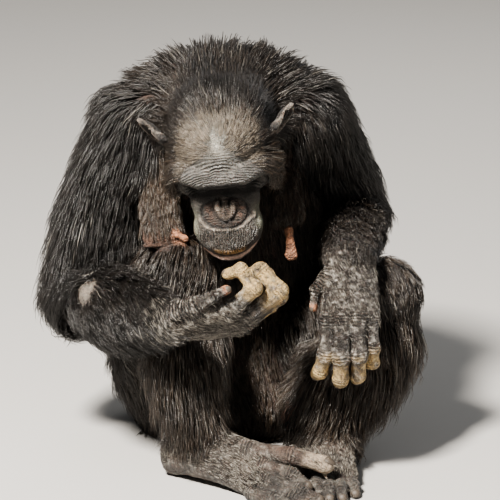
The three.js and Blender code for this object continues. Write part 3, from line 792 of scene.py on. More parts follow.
    def distance(self, points: Array) -> Array:
        """Distance from the head's skin, below zero inside."""
        q = self.local(points)
        p = folded(q)
        d = np.full(len(p), FAR_OFF)
        for centre, radii in self.MASSES.values():
            d = soft_min(d, oval_distance(p, centre, radii), self.BLEND)
        for bar in self.BARS.values():
            d = bar.worked(d, p)
        d = soft_cut(d, oval_distance(p, *self.NOSTRIL), 1.5)
        eye = self.EYE
        x, y, z = eye.at
        centre = distance_from(p, eye.at)
        d = soft_min(d, centre - eye.radius - eye.lid, 4.0)
        d = soft_cut(d, oval_distance(p, (x, y - eye.radius - eye.lid, z - 1), eye.gap), 1.2)
        d = np.where(p[:, 1] < y - 4, soft_cut(d, centre - (eye.radius + 0.3), 0.8), d)
        return soft_min(d, self.ear_distance(p), 4.0)


@dataclass(frozen=True)
class Breast:
    """A breast: a flat sac that hangs from its root, and the nipple at its end."""

    root: Point
    fold: Point
    wide: float
    deep: float
    nipple: list[tuple]


BREASTS = {
    "breast_r": Breast(
        root=(-100, -98, 402),
        fold=(-87, -157, 308),
        wide=29,
        deep=12,
        nipple=[(-68, -163, 318, 5.5), (-58, -169, 315, 4.5)],
    ),
    "breast_l": Breast(
        root=(72, -105, 384),
        fold=(78, -148, 342),
        wide=21,
        deep=11,
        nipple=[(80, -160, 324, 5.5), (82, -171, 308, 6), (83, -178, 297, 8.5)],
    ),
}


class Sac(Limb):
    """A breast as a form."""

    BLEND = 7.0

    def __init__(self, breast: Breast) -> None:
        """Builds the sac and its nipple."""
        wide, deep = breast.wide, breast.deep
        sections = [
            Station(breast.root, wide * 0.6, deep),
            Station(between(breast.root, breast.fold, 0.5, (0, -5, 0)), wide * 0.85, deep),
            Station(breast.fold, wide, deep * 0.85),
        ]
        super().__init__(sections, LEFTWARD)
        self.nipple = Chain(breast.nipple)
        self.low = np.minimum(self.low, self.nipple.low)
        self.high = np.maximum(self.high, self.nipple.high)

    def distance(self, points: Array) -> Array:
        """Distance from the breast's skin, below zero inside."""
        return soft_min(super().distance(points), self.nipple.distance(points), self.BLEND)


ELBOW_PATCH = ((-192, -168, 245), 26)


def elbow_patch(points: Array) -> Array:
    """1 on the elbow's bare patch, fading to 0 at its edge."""
    centre, reach = ELBOW_PATCH
    return ramp(distance_from(points, centre), reach, 0.5 * reach)


class Flesh:
    """The whole body's form: every part's distance, and how the parts join.

    Each joint's numbers are how widely the forms blend there, how far that blend reaches, and the
    blend beyond it.
    """

    FAR = 24.0
    GROUND = 0.5
    BLOCK = 50000
    JOINS = {
        "elbow": (14, 90, 0.5),
        "wrist": (12, 60, 0.2),
        "shoulder": (34, 130, 0.5),
        "knee": (14, 90, 0.5),
        "ankle": (16, 70, 0.5),
        "hip": (34, 150, 0.5),
    }
    LIMBS = (
        ("upper_arm", "elbow", "forearm", "wrist", "hand", "shoulder"),
        ("thigh", "knee", "shin", "ankle", "foot", "hip"),
    )
    HEAD_JOIN = ((-9, -150, 460), 16, 90, 0.5)
    NECK_BLEND = 24.0
    BREAST_BLEND = 10.0

    def __init__(self) -> None:
        """Builds every part."""
        self.limbs = body_limbs()
        self.palms = {name: Palm(hand) for name, hand in HANDS.items()}
        self.breasts = {name: Sac(breast) for name, breast in BREASTS.items()}
        self.head = Head()
        self.parts = {"head": self.head, **self.limbs, **self.palms, **self.breasts}

    def limb(self, name: str) -> Limb:
        """The limb that a part is, or the palm or sole of a hand or foot."""
        part = self.parts[name]
        return part.limb if isinstance(part, Palm) else part

    def part_distance(self, name: str, points: Array) -> Array:
        """Distance from one part, worked out in full only near it.

        Args:
            name: the part.
            points: places in space.

        Returns:
            Distance, or a lower bound of it far from the part.
        """
        part = self.parts[name]
        outside = np.maximum(np.maximum(part.low - points, points - part.high), 0)
        box = np.linalg.norm(outside, axis=1)
        near = box < self.FAR
        box[near] = part.distance(points[near])
        return box

    def measure(self, points: Array) -> dict[str, Array]:
        """Distances from every part."""
        return {name: self.part_distance(name, points) for name in self.parts}

    def joined(self, d: dict[str, Array], points: Array) -> Array:
        """Distance from the whole body.

        Args:
            d: distances from every part.
            points: the places that they were measured at.

        Returns:
            Distance from the skin, below zero inside.
        """

        def join(a: Array, b: Array, place: Point, wide: float, reach: float, least: float) -> Array:
            """Joins two forms at a joint."""
            near = 1 - ramp(distance_from(points, place), reach * 0.5, reach)
            return soft_min(a, b, wide * near + least)

        total = soft_min(d["torso"], d["neck"], self.NECK_BLEND)
        total = join(total, d["head"], *self.HEAD_JOIN)
        for name in self.breasts:
            total = soft_min(total, d[name], self.BREAST_BLEND)
        for side in SIDES:
            for upper, bend, lower, end, hand, root in self.LIMBS:
                limb = join(d[f"{upper}_{side}"], d[f"{lower}_{side}"], JOINTS[bend][side], *self.JOINS[bend])
                limb = join(limb, d[f"{hand}_{side}"], JOINTS[end][side], *self.JOINS[end])
                total = join(total, limb, JOINTS[root][side], *self.JOINS[root])
        return np.maximum(total, self.GROUND - points[:, 2])

    def distance(self, points: Array) -> Array:
        """Distance from the whole body's skin, worked out in blocks on every core."""
        blocks = [points[i : i + self.BLOCK] for i in range(0, len(points), self.BLOCK)]
        with ThreadPoolExecutor() as pool:
            done = pool.map(lambda block: self.joined(self.measure(block), block), blocks)
            return np.concatenate(list(done))

    def rises(self, points: Array, base: Array, step: float) -> Array:
        """How much the distance grows over a step along each axis.

        Args:
            points: places.
            base: their distance from the skin.
            step: the step's length.

        Returns:
            Three numbers for each place.
        """
        return np.stack([self.distance(points + shift) - base for shift in np.eye(3) * step], axis=1)

    def normal(self, points: Array) -> Array:
        """The direction straight out of the skin at places near it."""
        return unit(self.rises(points, self.distance(points), 0.6))

    def settle(self, points: Array, rounds: int = 2) -> Array:
        """Places moved onto the skin.

        Args:
            points: places near the skin.
            rounds: how often each is moved, by 3 mm at most.

        Returns:
            The places on the skin.
        """
        step, longest = 0.4, 3.0
        for _ in range(rounds):
            base = self.distance(points)
            slopes = self.rises(points, base, step) / step
            steep = np.maximum(np.sum(slopes**2, axis=1), 0.2)
            move = slopes * (base / steep)[:, None]
            length = np.linalg.norm(move, axis=1, keepdims=True)
            points = points - move * np.minimum(1.0, longest / np.maximum(length, 1e-6))
        return points


@dataclass
class Surface:
    """A mesh of quads over places."""

    points: Array
    quads: Array

    def kept(self, mask: Array, *values: Array) -> "tuple[Surface, ...]":
        """The faces whose corners are all in a mask, with the corners that they use.

        Args:
            mask: whether each corner is kept.
            values: numbers held at the corners.

        Returns:
            The smaller surface, then each set of numbers at its corners.
        """
        quads = self.quads[mask[self.quads].all(axis=1)]
        used = np.unique(quads)
        renumber = np.full(len(self.points), -1)
        renumber[used] = np.arange(len(used))
        return (Surface(self.points[used], renumber[quads]), *(value[used] for value in values))


def surface_net(form: Callable[[Array], Array], low: Array, high: Array, cell: float) -> Surface:
    """The surface where a form is zero, as quads of about one size.

    Args:
        form: distance at places, below zero inside.
        low: lowest corner of the region.
        high: highest corner of the region.
        cell: size of a quad.

    Returns:
        The surface.
    """
    stride, spare = 4, 1.6
    counts = (np.ceil((np.asarray(high) - low) / cell / stride).astype(int) + 1) * stride
    grid = np.stack(np.meshgrid(*(np.arange(n) for n in counts), indexing="ij"), axis=-1)
    coarse = grid[::stride, ::stride, ::stride] + (stride - 1) / 2
    rough = form(coarse.reshape(-1, 3) * cell + low).reshape(coarse.shape[:3])
    values = rough.repeat(stride, 0).repeat(stride, 1).repeat(stride, 2).astype(np.float32)
    near = np.abs(values) < cell * stride * spare
    values[near] = form(grid[near] * cell + low)
    inside = values < 0
    total = np.zeros(tuple(counts - 1) + (3,), dtype=np.float32)
    hits = np.zeros(tuple(counts - 1), dtype=np.int8)
    for axis in range(3):
        other = [a for a in range(3) if a != axis]
        for shift_a in (0, 1):
            for shift_b in (0, 1):
                start = [slice(0, n - 1) for n in counts]
                start[other[0]] = slice(shift_a, counts[other[0]] - 1 + shift_a)
                start[other[1]] = slice(shift_b, counts[other[1]] - 1 + shift_b)
                end = list(start)
                end[axis] = slice(1, counts[axis])
                a, b = values[tuple(start)], values[tuple(end)]
                cross = (a < 0) != (b < 0)
                share = np.where(cross, a / np.where(cross, a - b, 1), 0)
                total[..., axis] += share
                total[..., other[0]] += cross * shift_a
                total[..., other[1]] += cross * shift_b
                hits += cross
    active = hits > 0
    number = np.full(active.shape, -1)
    number[active] = np.arange(active.sum())
    cells = np.argwhere(active)
    points = (cells + total[active] / hits[active][:, None]) * cell + low
    quads = []
    for axis in range(3):
        u, v = (axis + 1) % 3, (axis + 2) % 3
        start = [slice(1, n - 1) for n in counts]
        start[axis] = slice(0, counts[axis] - 1)
        end = list(start)
        end[axis] = slice(1, counts[axis])
        a, b = inside[tuple(start)], inside[tuple(end)]
        crossing = np.argwhere(a != b)
        outward = a[a != b]
        origin = np.ones(3, dtype=int)
        origin[axis] = 0
        base = crossing + origin
        du, dv = np.eye(3, dtype=int)[u], np.eye(3, dtype=int)[v]
        ring = [base - du - dv, base - dv, base, base - du]
        corners = np.stack([number[tuple(corner.T)] for corner in ring], axis=1)
        quads.append(np.where(outward[:, None], corners, corners[:, ::-1]))
    return Surface(points, np.concatenate(quads))


def mesh_object(name: str, points: Array, faces: list[Array] | Array) -> bpy.types.Object:
    """Makes a mesh object from places in millimetres.

    Args:
        name: the object's name.
        points: its corners.
        faces: one array of faces, or a list of arrays with a like number of corners in each.

    Returns:
        The object, linked to the scene.
    """
    groups = faces if isinstance(faces, list) else [faces]
    mesh = bpy.data.meshes.new(name)
    loops = np.concatenate([group.ravel() for group in groups]).astype(np.int32)
    sizes = np.concatenate([np.full(len(group), group.shape[1]) for group in groups])
    mesh.vertices.add(len(points))
    mesh.vertices.foreach_set("co", (np.asarray(points) * MM).astype(np.float32).ravel())
    mesh.loops.add(len(loops))
    mesh.loops.foreach_set("vertex_index", loops)
    mesh.polygons.add(len(sizes))
    mesh.polygons.foreach_set("loop_start", np.concatenate([[0], np.cumsum(sizes)[:-1]]).astype(np.int32))
    mesh.polygons.foreach_set("use_smooth", np.full(len(sizes), True))
    mesh.update(calc_edges=True)
    mesh.validate()
    piece = bpy.data.objects.new(name, mesh)
    bpy.context.scene.collection.objects.link(piece)
    return piece


def keep(piece: bpy.types.Object, name: str, values: Array) -> None:
    """Keeps a linear colour or a number for each corner of a piece.

    Args:
        piece: the piece.
        name: the attribute's name.
        values: one row or one number for each vertex.
    """
    if values.ndim == 1:
        piece.data.attributes.new(name, "FLOAT", "POINT").data.foreach_set("value", values.astype(np.float32))
        return
    full = np.ones((len(values), 4), dtype=np.float32)
    full[:, :3] = values
    piece.data.attributes.new(name, "FLOAT_COLOR", "POINT").data.foreach_set("color", full.ravel())


@dataclass
class Look:
    """How the skin looks at places on it.

    Attributes:
        tint: linear colours.
        gloss: from 0, dull, to 1, oily.
        lift: how far the skin stands out.
        phase: place across the wrinkles, in wrinkles.
        fold: how deep the wrinkles are, from 0 to 1.
    """

    tint: Array
    gloss: Array
    lift: Array
    phase: Array
    fold: Array

    @staticmethod
    def plain(count: int, colour: Point, gloss: float) -> "Look":
        """One colour and gloss for a number of places."""
        return Look(tiled(colour, count), np.full(count, gloss), *np.zeros((3, count)))

    def paint(self, colour: Point, share: Array) -> None:
        """Blends a colour in, by a share for each place."""
        self.tint = mix(self.tint, colour, share)

    def lay(self, other: "Look", on: Array, share: Array) -> None:
        """Lays another look over some of the places.

        Args:
            other: looks at those places.
            on: which places they are.
            share: how much of the other look shows there.
        """
        for name in ("gloss", "lift", "fold"):
            mine, theirs = getattr(self, name), getattr(other, name)
            mine[on] += (theirs - mine[on]) * share
        self.tint[on] += (other.tint - self.tint[on]) * share[:, None]
        self.phase[on] = other.phase


class Relief:
    """The skin's folds, wrinkles, colours, painted shade and highlights, worked out from places on it."""

    HIDE = (0.030, 0.024, 0.021)
    FACE = (0.040, 0.034, 0.029)
    BROW = (0.095, 0.088, 0.080)
    STRIP = (0.240, 0.225, 0.190)
    CHEEK = (0.230, 0.225, 0.165)
    NOSE = (0.040, 0.028, 0.021)
    MOTTLE = (0.150, 0.075, 0.048)
    # painted highlight on raised ridges: nose wings, the crest round the muzzle, ear rims
    RIDGE = (0.340, 0.285, 0.230)
    MUZZLE = (0.056, 0.047, 0.039)
    OCHRE = (0.420, 0.240, 0.095)
    LIP = (0.560, 0.380, 0.300)
    # painted shade, near black: creases, slits, the mouth, and shadows under nose, lower lip and brow
    LINE = (0.008, 0.006, 0.005)
    EAR = (0.032, 0.027, 0.024)
    HAND = (0.024, 0.019, 0.016)
    DUST = (0.140, 0.118, 0.096)
    # painted highlight: pale specks that stand in for glints on hands and feet
    GLINT_SPECK = (0.300, 0.275, 0.240)
    TIP = (0.400, 0.280, 0.130)
    TOE = (0.340, 0.270, 0.200)
    FOOT = (0.040, 0.033, 0.028)
    INNER = (0.260, 0.140, 0.100)
    CHEST = (0.072, 0.043, 0.031)
    NIPPLE = (0.360, 0.165, 0.090)
    ELBOW = (0.190, 0.160, 0.130)
    CREASES = (321, 312, 303)
    INNER_THIGH = (76, -190, 55)
    WRINKLE = {"brow": 3.9, "lips": 3.6, "digits": 4.4, "breast": 5.0}

    def __init__(self, flesh: Flesh) -> None:
        """Keeps the form."""
        self.flesh = flesh
        self.painters = {
            **dict.fromkeys(("hand_r", "hand_l"), self.hand),
            **dict.fromkeys(("foot_r", "foot_l"), self.foot),
            **dict.fromkeys(BREASTS, self.breast),
            "head": self.face,
        }

    def look(self, points: Array) -> Look:
        """The look of the whole skin.

        Args:
            points: places on the skin.

        Returns:
            Their looks.
        """
        d = self.flesh.measure(points)
        whole = Look.plain(len(points), self.HIDE, 0.35)
        whole.lift = NOISE(points, 9.0) * 0.5
        whole.paint(self.CHEST, 0.6 * ramp(d["torso"], 14, 2) * ramp(points[:, 1], -50, -84))
        whole.paint(self.ELBOW, elbow_patch(points))
        inner = np.linalg.norm((points - np.array(self.INNER_THIGH)) / np.array([1, 1, 1.5]), axis=1)
        whole.paint(self.INNER, ramp(inner, 30, 14))
        rest = {name: values for name, values in d.items() if name not in ("torso", "neck")}
        for name, painter in self.painters.items():
            others = np.min([v for other, v in rest.items() if other != name], axis=0)
            share = ramp(others - d[name], -10, 8) * ramp(d[name], 16, 6)
            on = share > 0
            if on.any():
                whole.lay(painter(name, points[on]), on, share[on])
        mottle = 1 + 0.22 * NOISE(points, 14.0) + 0.16 * NOISE(points + 50, 5.0)
        whole.tint *= mottle[:, None]
        return whole

    def face(self, _: str, points: Array) -> Look:
        """The look of the head.

        Args:
            points: places on the head.

        Returns:
            Their looks.
        """
        head = self.flesh.head
        q = head.local(points)
        x, y = np.abs(q[:, 0]), q[:, 1]
        v = head.height(q)
        bowed = v + head.BOW * x**2
        wobble, spots, speckle = NOISE(q, 16.0), NOISE(q, 5.0), NOISE(q, 4.0)
        front = ramp(y, -34, -50)
        # the brow, forehead and cheeks
        brow = bump(bowed, -49, 26) ** 0.5 * ramp(y, -36, -50) * ramp(x, 60, 46)
        fore = np.clip(1.3 - np.hypot(x / 46, (v + 6) / 42), 0, 1) * (0.9 + 0.3 * wobble)
        strip = bump(x, 0, 16) * bump(v, -12, 28)
        cheek = bump(x, 45, 13) * bump(v, -113, 30) * front
        # the nose in its ring of folds
        ring = np.hypot(x / 32, (v + 102) / 21) + 0.05 * NOISE(q, 14.0) + 0.04 * spots
        inside = ramp(ring, 1.05, 0.85) * front
        reddish = bump(x, 21, 9) * bump(v, -100, 14) * ramp(speckle, -0.1, 0.4)
        edge = self.wedge(x, v)
        nose = ramp(edge, 0.5, -1.5) * front
        # the nose wings: a raised fold, also painted with a highlight
        wing = bump(edge, -3.5, 3.0) * ramp(v, -112, -98) * (0.4 + 0.8 * spots)
        wing = wing + 0.5 * bump(x, 8.5, 3.0) * bump(v, -97, 12)
        # the nose's slits, painted with their shade
        slit_shade = bump(x - 0.1 * (v + 90), 5.0, 2.4) * bump(v, -90, 8) * front
        # the groove under the nose tip, painted below with its shadow
        under = bump(v + 117 - 0.5 * x, 0, 4.5) * ramp(x, 15, 8)
        # the muzzle and lips
        muzzle = ramp(ring, 1.0, 1.12) * ramp(v, -98, -112) * front
        spokes = 0.5 + 0.5 * np.sin(x / 1.3 + 3.0 * NOISE(q, 7.0))
        # painted highlight on the crest just outside the ring
        crest_highlight = bump(ring, 1.13, 0.08) * ramp(v, -100, -110) * front
        gap = self.gap(q)
        # the painted shadow under the brow and round the eyes, and the ears
        # the band under the brow, painted dark as the brow's shadow
        socket = ramp(bowed, -64, -68) * ramp(v, -82, -78) * ramp(x, 58, 50)
        shade = np.maximum(ramp(distance_from(folded(q), head.EYE.at), 30, 20), socket) * front
        ear = ramp(x, 62, 68)
        look = Look.plain(len(q), self.FACE, 0.35)
        for colour, share in (
            (self.BROW, brow),
            (self.STRIP, np.clip(0.45 * fore + 0.5 * strip, 0, 1)),
            (self.CHEEK, np.clip(1.3 * cheek, 0, 1) * (0.8 + 0.3 * wobble)),
            (self.NOSE, inside),
            (self.MOTTLE, 0.6 * reddish * front),
            # painted highlight on the nose and its wings
            (self.RIDGE, 0.05 * nose + np.clip(0.4 * wing, 0, 0.4) * front),
            # painted shade in the nose's slits
            (self.LINE, np.clip(1.6 * slit_shade, 0, 1)),
            # painted shade in the groove down the middle of the nose
            (self.LINE, 0.9 * bump(x, 0, 1.6) * bump(v, -100, 14) * front),
            # painted shade in the crease of the ring round the nose
            (self.LINE, 0.85 * bump(ring, 1.0, 0.1) * front),
            # painted shadow under the nose tip
            (self.LINE, 0.9 * under * front),
            (self.MUZZLE, muzzle * 0.9 * ramp(x, 44, 34)),
            # painted highlight on the crest round the muzzle
            (self.RIDGE, crest_highlight * (0.35 + 0.4 * spokes)),
            (self.OCHRE, np.clip(1.3 * bump(gap, 6, 8), 0, 1) * ramp(x, 26, 10) * front),
            (self.LIP, np.clip(1.5 * bump(gap, -5.0, 4.5), 0, 1) * ramp(x, 40, 32) * front),
            # painted shade in the line between the lips
            (self.LINE, bump(gap, 0, 2.2) * ramp(x, 42, 37) * front),
            # painted shadow under the lower lip
            (self.LINE, 0.8 * ramp(gap, -9, -12) * front),
            # painted shadow under the brow and round the eyes
            (self.LINE, shade),
            (self.EAR, ear),
            # painted highlight on the ear rims
            (self.RIDGE, 0.5 * ramp(head.rim(q), 3.0, 0.5) * ear),
        ):
            look.paint(colour, share)
        look.gloss = (0.35 + 0.6 * brow + 0.45 * muzzle + 0.5 * nose) * (1 - shade) - 0.7 * shade
        folds = (
            -3.2 * bump(ring, 1.0, 0.13) * ramp(v, -80, -94)
            + 2.0 * bump(ring, 1.16, 0.13) * ramp(v, -98, -110)
            + 0.5 * (spokes - 0.5) * bump(ring, 1.25, 0.25) * ramp(v, -104, -112)
            - 1.4 * bump(x, 0, 1.8) * bump(v, -100, 15)
            + np.clip(wing, 0, 1)
            - 1.8 * under
            + 0.25 * speckle
        )
        look.lift = (folds * front + 0.9 * NOISE(q, 6.0) * reddish) * (1 - ear)
        lips = ramp(v, -118, -128) * ramp(gap, 2, 8) * front
        across = x / self.WRINKLE["lips"] + wobble + 0.5 * NOISE(q, 6.0)
        level = bowed / self.WRINKLE["brow"] + 0.8 * wobble + 0.3 * NOISE(q, 7.0)
        look.phase = np.where(lips > 0, across, level)
        creased = lips * np.clip(0.75 + 0.9 * NOISE(q + 40, 8.0), 0, 1.2)
        creased = np.maximum(creased, 0.8 * inside * np.clip(0.5 + NOISE(q, 8.0), 0, 1))
        look.fold = np.maximum(brow * (1.0 + 0.8 * NOISE(q, 9.0)), creased)
        return look

    @staticmethod
    def wedge(x: Array, v: Array) -> Array:
        """Distance outside the nose, seen from above: wide at the top and pointed below."""
        return x - np.interp(v, [-116, -107, -94, -85, -78], [-2, 10, 16, 11, -4])

    @staticmethod
    def gap(q: Array) -> Array:
        """How far places on the muzzle lie above the line between the lips."""
        along, _, level = np.transpose(Head.MOUTH)
        return q[:, 2] - np.interp(np.abs(q[:, 0]), along, level)

    def digits(self, name: str, points: Array) -> tuple[Array, Array, Array]:
        """Where places on a hand or foot lie along its digits.

        Args:
            name: the hand or foot.
            points: places on it.

        Returns:
            How pale they are, how wrinkled, and the place across the wrinkles.
        """
        palm = self.flesh.palms[name]
        pale, fold, phase = np.zeros((3, len(points)))
        nearest = np.full(len(points), FAR_OFF)
        for digit, chain in palm.digits.items():
            d = chain.distance(points)
            reach = chain.reach(points)
            first = chain.ends[1]
            low, high = (share * first for share in palm.pale)
            mine = d < nearest
            nearest = np.minimum(d, nearest)
            crease = 0.9 * bump(reach, -4, 22) * ramp(d, 12, 3)
            tip = 0
            if "thumb" in digit:
                crease = np.maximum(crease, 1.3 * ramp(reach, first + 16, first) * ramp(d, 8, 3))
            else:
                tip = ramp(reach + 6 * NOISE(points, 9.0), low, high)
            for end in chain.ends[1:-1]:
                crease = np.maximum(crease, bump(reach, end, 11) * ramp(d, 4, 1) * (1 - 0.5 * tip))
            pale = np.where(mine, ramp(d, 5, 1) * tip, pale)
            fold = np.where(mine, crease, fold)
            phase = np.where(mine, reach / self.WRINKLE["digits"] + 0.5 * NOISE(points, 13.0), phase)
        return pale, fold, phase

    def hand(self, name: str, points: Array) -> Look:
        """The look of a hand."""
        pale, fold, phase = self.digits(name, points)
        look = Look.plain(len(points), self.HAND, 1.1)
        speckle = 1.1 * NOISE(points + 70, 4.0) + 1.2 * NOISE(points + 30, 2.4)
        stain = np.clip(0.25 + 1.2 * NOISE(points, 4.0) + 0.9 * NOISE(points, 12.0), 0, 1)
        thumb = self.flesh.palms[name].digits[f"thumb_{name[-1]}"]
        length = thumb.ends[-1]
        pink = ramp(thumb.distance(points), 4, 1) * ramp(thumb.reach(points), length - 7, length - 1)
        look.paint(self.DUST, 0.35 * np.clip(NOISE(points, 8.0) + 0.2, 0, 1))
        # painted highlight: pale specks that stand in for glints
        look.paint(self.GLINT_SPECK, 0.75 * np.clip(speckle - 0.1, 0, 1))
        look.paint(self.TIP, pale * (1 - 0.85 * stain))
        look.paint(self.NIPPLE, 0.8 * pink)
        look.gloss -= 0.7 * pale
        look.lift = 0.5 * NOISE(points, 5.0) + 0.5 * NOISE(points, 11.0)
        look.phase, look.fold = phase, fold
        return look

    def foot(self, name: str, points: Array) -> Look:
        """The look of a foot."""
        _, fold, phase = self.digits(name, points)
        look = Look.plain(len(points), self.FOOT, 0.4)
        big = self.flesh.palms[name].digits[f"toe_hallux_{name[-1]}"]
        reach = distance_from(points, big.joints[-1])
        on_toe = ramp(big.distance(points), 5, 1)
        look.paint(self.DUST, 0.5 * np.clip(NOISE(points, 12.0) + 0.2, 0, 1))
        look.paint(self.NIPPLE, 0.12 * np.clip(NOISE(points, 22.0), 0, 1))
        # painted highlight: the same pale glint specks as on the hands
        look.paint(self.GLINT_SPECK, 0.4 * np.clip(1.8 * NOISE(points + 70, 4.0) - 0.3, 0, 1))
        look.paint(self.MOTTLE, 0.18 * ramp(reach, 80, 50) * on_toe)
        look.paint(self.TOE, ramp(reach + 8 * NOISE(points, 9.0), 42, 16) * on_toe)
        look.lift = 0.6 * NOISE(points, 5.0) + 0.6 * NOISE(points, 11.0)
        look.phase, look.fold = phase, fold
        return look

    def breast(self, name: str, points: Array) -> Look:
        """The look of a breast."""
        away = self.flesh.breasts[name].nipple.distance(points)
        look = Look.plain(len(points), self.CHEST, 0.15)
        rough = NOISE(points, 5.0)
        look.paint(self.NIPPLE, ramp(away, 7, 1) * np.clip(0.8 + 0.5 * rough, 0, 1))
        look.lift = 0.9 * NOISE(points, 7.0) + 0.8 * rough * ramp(away, 8, 2)
        level = points[:, 2] + 3.0 * NOISE(points, 22.0) - 0.12 * points[:, 0]
        if name == "breast_r":
            for crease in self.CREASES:
                groove = bump(level, crease, 3.2) * ramp(points[:, 0], -58, -68)
                look.lift -= 2.6 * groove
                # painted shade in the crease
                look.paint(self.LINE, 0.85 * groove)
            look.paint(self.NIPPLE, 0.2 * ramp(level, 336, 322) * np.clip(0.6 + rough, 0, 1))
        look.phase = level / self.WRINKLE["breast"] + 1.4 * NOISE(points, 12.0)
        look.fold = 0.35 * ramp(away, 40, 10)
        return look


@dataclass(frozen=True)
class Zone:
    """A region of the skin that has quads of its own size.

    Attributes:
        parts: the parts that it belongs to.
        cell: size of its quads.
        front: whether it is the face, and not the ears, where the part is the head.
    """

    parts: tuple[str, ...]
    cell: float
    front: bool = False


class Skin:
    """The skin over the whole body, finer on the face, hands, feet and breasts."""

    BODY_CELL = 8.0
    FACE_WIDE, FACE_BACK = 64, -38
    MARGIN = 7.0
    TUCK = 0.9
    ZONES = {
        "face": Zone(("head",), 1.5, front=True),
        "ears": Zone(("head",), 2.0),
        "hand_r": Zone(("hand_r",), 2.5),
        "hand_l": Zone(("hand_l",), 2.5),
        "foot_r": Zone(("foot_r",), 3.0),
        "foot_l": Zone(("foot_l",), 3.0),
        "breasts": Zone(("breast_r", "breast_l"), 3.5),
    }

    def __init__(self, flesh: Flesh) -> None:
        """Keeps the form.

        Args:
            flesh: the body's form.
        """
        self.flesh = flesh
        self.relief = Relief(flesh)

    def belonging(self, zone: Zone, d: dict[str, Array], points: Array) -> Array:
        """How far within a zone places lie, below zero outside.

        Args:
            zone: the zone.
            d: distances from every part.
            points: places on the skin.

        Returns:
            Millimetres, about.
        """
        own = np.min([d[name] for name in zone.parts], axis=0)
        rest = np.min([values for name, values in d.items() if name not in zone.parts], axis=0)
        if zone.parts == ("head",):
            local = self.flesh.head.local(points)
            side = np.abs(local[:, 0]) - self.FACE_WIDE
            bare = np.minimum(self.FACE_BACK - local[:, 1], -side) if zone.front else side
            return np.minimum(rest - own, bare)
        return rest - own

    def net(self, zone: Zone | None) -> Surface:
        """The surface of one zone, or of what the zones leave.

        Args:
            zone: the zone, or None for the rest of the body.

        Returns:
            The surface, on the skin.
        """
        flesh = self.flesh
        parts = [flesh.parts[name] for name in (zone.parts if zone else flesh.parts)]
        cell, reach = (zone.cell, 6.0) if zone else (self.BODY_CELL, 8.0)
        low = np.min([part.low for part in parts], axis=0) - reach
        high = np.max([part.high for part in parts], axis=0) + reach
        surface = surface_net(flesh.distance, low, high, cell)
        d = flesh.measure(surface.points)
        if zone:
            (surface,) = surface.kept(self.belonging(zone, d, surface.points) > -self.MARGIN)
            surface.points = flesh.settle(surface.points)
        else:
            within = np.max([self.belonging(z, d, surface.points) for z in self.ZONES.values()], axis=0)
            surface, within = surface.kept(within < self.MARGIN, within)
            surface.points = flesh.settle(surface.points)
            tuck = ramp(within, -self.MARGIN, 0) * self.TUCK
            surface.points -= flesh.normal(surface.points) * tuck[:, None]
        return surface

    def build(self) -> bpy.types.Object:
        """Makes the skin with its folds and colours.

        Returns:
            The skin's object.
        """
        surfaces = [self.net(zone) for zone in (None, *self.ZONES.values())]
        starts = np.cumsum([0] + [len(s.points) for s in surfaces[:-1]])
        points = np.concatenate([s.points for s in surfaces])
        quads = np.concatenate([s.quads + start for s, start in zip(surfaces, starts)])
        normals = self.flesh.normal(points)
        look = self.relief.look(points)
        points = points + normals * look.lift[:, None]
        points[:, 2] = np.maximum(points[:, 2], self.flesh.GROUND)
        piece = mesh_object("skin", points, quads)
        for name in ("tint", "gloss", "phase", "fold"):
            keep(piece, name, getattr(look, name))
        self.surface = Surface(points, quads)
        return piece


class Eyes:
    """The eyeballs: dark brown, wet, and sunk under the lids."""

    RINGS = 24
    SPOKES = 36
    PUPIL, IRIS = 0.30, 0.62
    COLOURS = {"pupil": (0.004, 0.003, 0.003), "iris": (0.040, 0.016, 0.007), "white": (0.016, 0.010, 0.007)}

    def build(self, head: Head, side: str) -> bpy.types.Object:
        """Makes one eyeball.

        Args:
            head: the head that it sits in.
            side: r or l.

        Returns:
            The eyeball's object.
        """
        eye = head.EYE
        polar = np.linspace(0, math.pi, self.RINGS + 1)[1:-1]
        turn = np.linspace(0, 2 * math.pi, self.SPOKES, endpoint=False)
        p, t = np.meshgrid(polar, turn, indexing="ij")
        bulge = 1 + 0.05 * ramp(p, 0.55, 0.2)
        shape = np.stack([np.sin(p) * np.cos(t), -np.cos(p), np.sin(p) * np.sin(t)], axis=-1)
        shape = (shape * bulge[..., None] * eye.radius).reshape(-1, 3)
        poles = np.array([[0, -eye.radius * 1.05, 0], [0, eye.radius, 0]])
        x, y, z = eye.at
        points = head.world(np.vstack([shape, poles]) + np.array([SIDES[side] * x, y, z]))
        quads, triangles = tube_faces(len(polar), self.SPOKES)
        piece = mesh_object(f"eyeball_{side}", points, [quads, triangles])
        angle = np.concatenate([p.ravel(), [0, math.pi]])
        colours = tiled(self.COLOURS["white"], len(points))
        colours = mix(colours, self.COLOURS["iris"], ramp(angle, self.IRIS + 0.06, self.IRIS - 0.02))
        colours = mix(colours, self.COLOURS["pupil"], ramp(angle, self.PUPIL + 0.04, self.PUPIL - 0.02))
        keep(piece, "tint", colours)
        return piece


def tube_faces(rings: int, spokes: int) -> tuple[Array, Array]:
    """Faces of a closed tube of rings, with one pole after the rings at each end.

    Args:
        rings: how many rings.
        spokes: corners in each.

    Returns:
        The quads between rings and the triangles round the poles.
    """
    i, k = np.meshgrid(np.arange(rings - 1), np.arange(spokes), indexing="ij")
    here, there = k, (k + 1) % spokes
    quads = np.stack(
        [i * spokes + here, (i + 1) * spokes + here, (i + 1) * spokes + there, i * spokes + there], axis=-1
    ).reshape(-1, 4)
    k = np.arange(spokes)
    following = (k + 1) % spokes
    first, last = rings * spokes, rings * spokes + 1
    base = (rings - 1) * spokes
    start = np.stack([np.full(spokes, first), k, following], axis=1)
    end = np.stack([np.full(spokes, last), base + following, base + k], axis=1)
    return quads, np.concatenate([start, end])


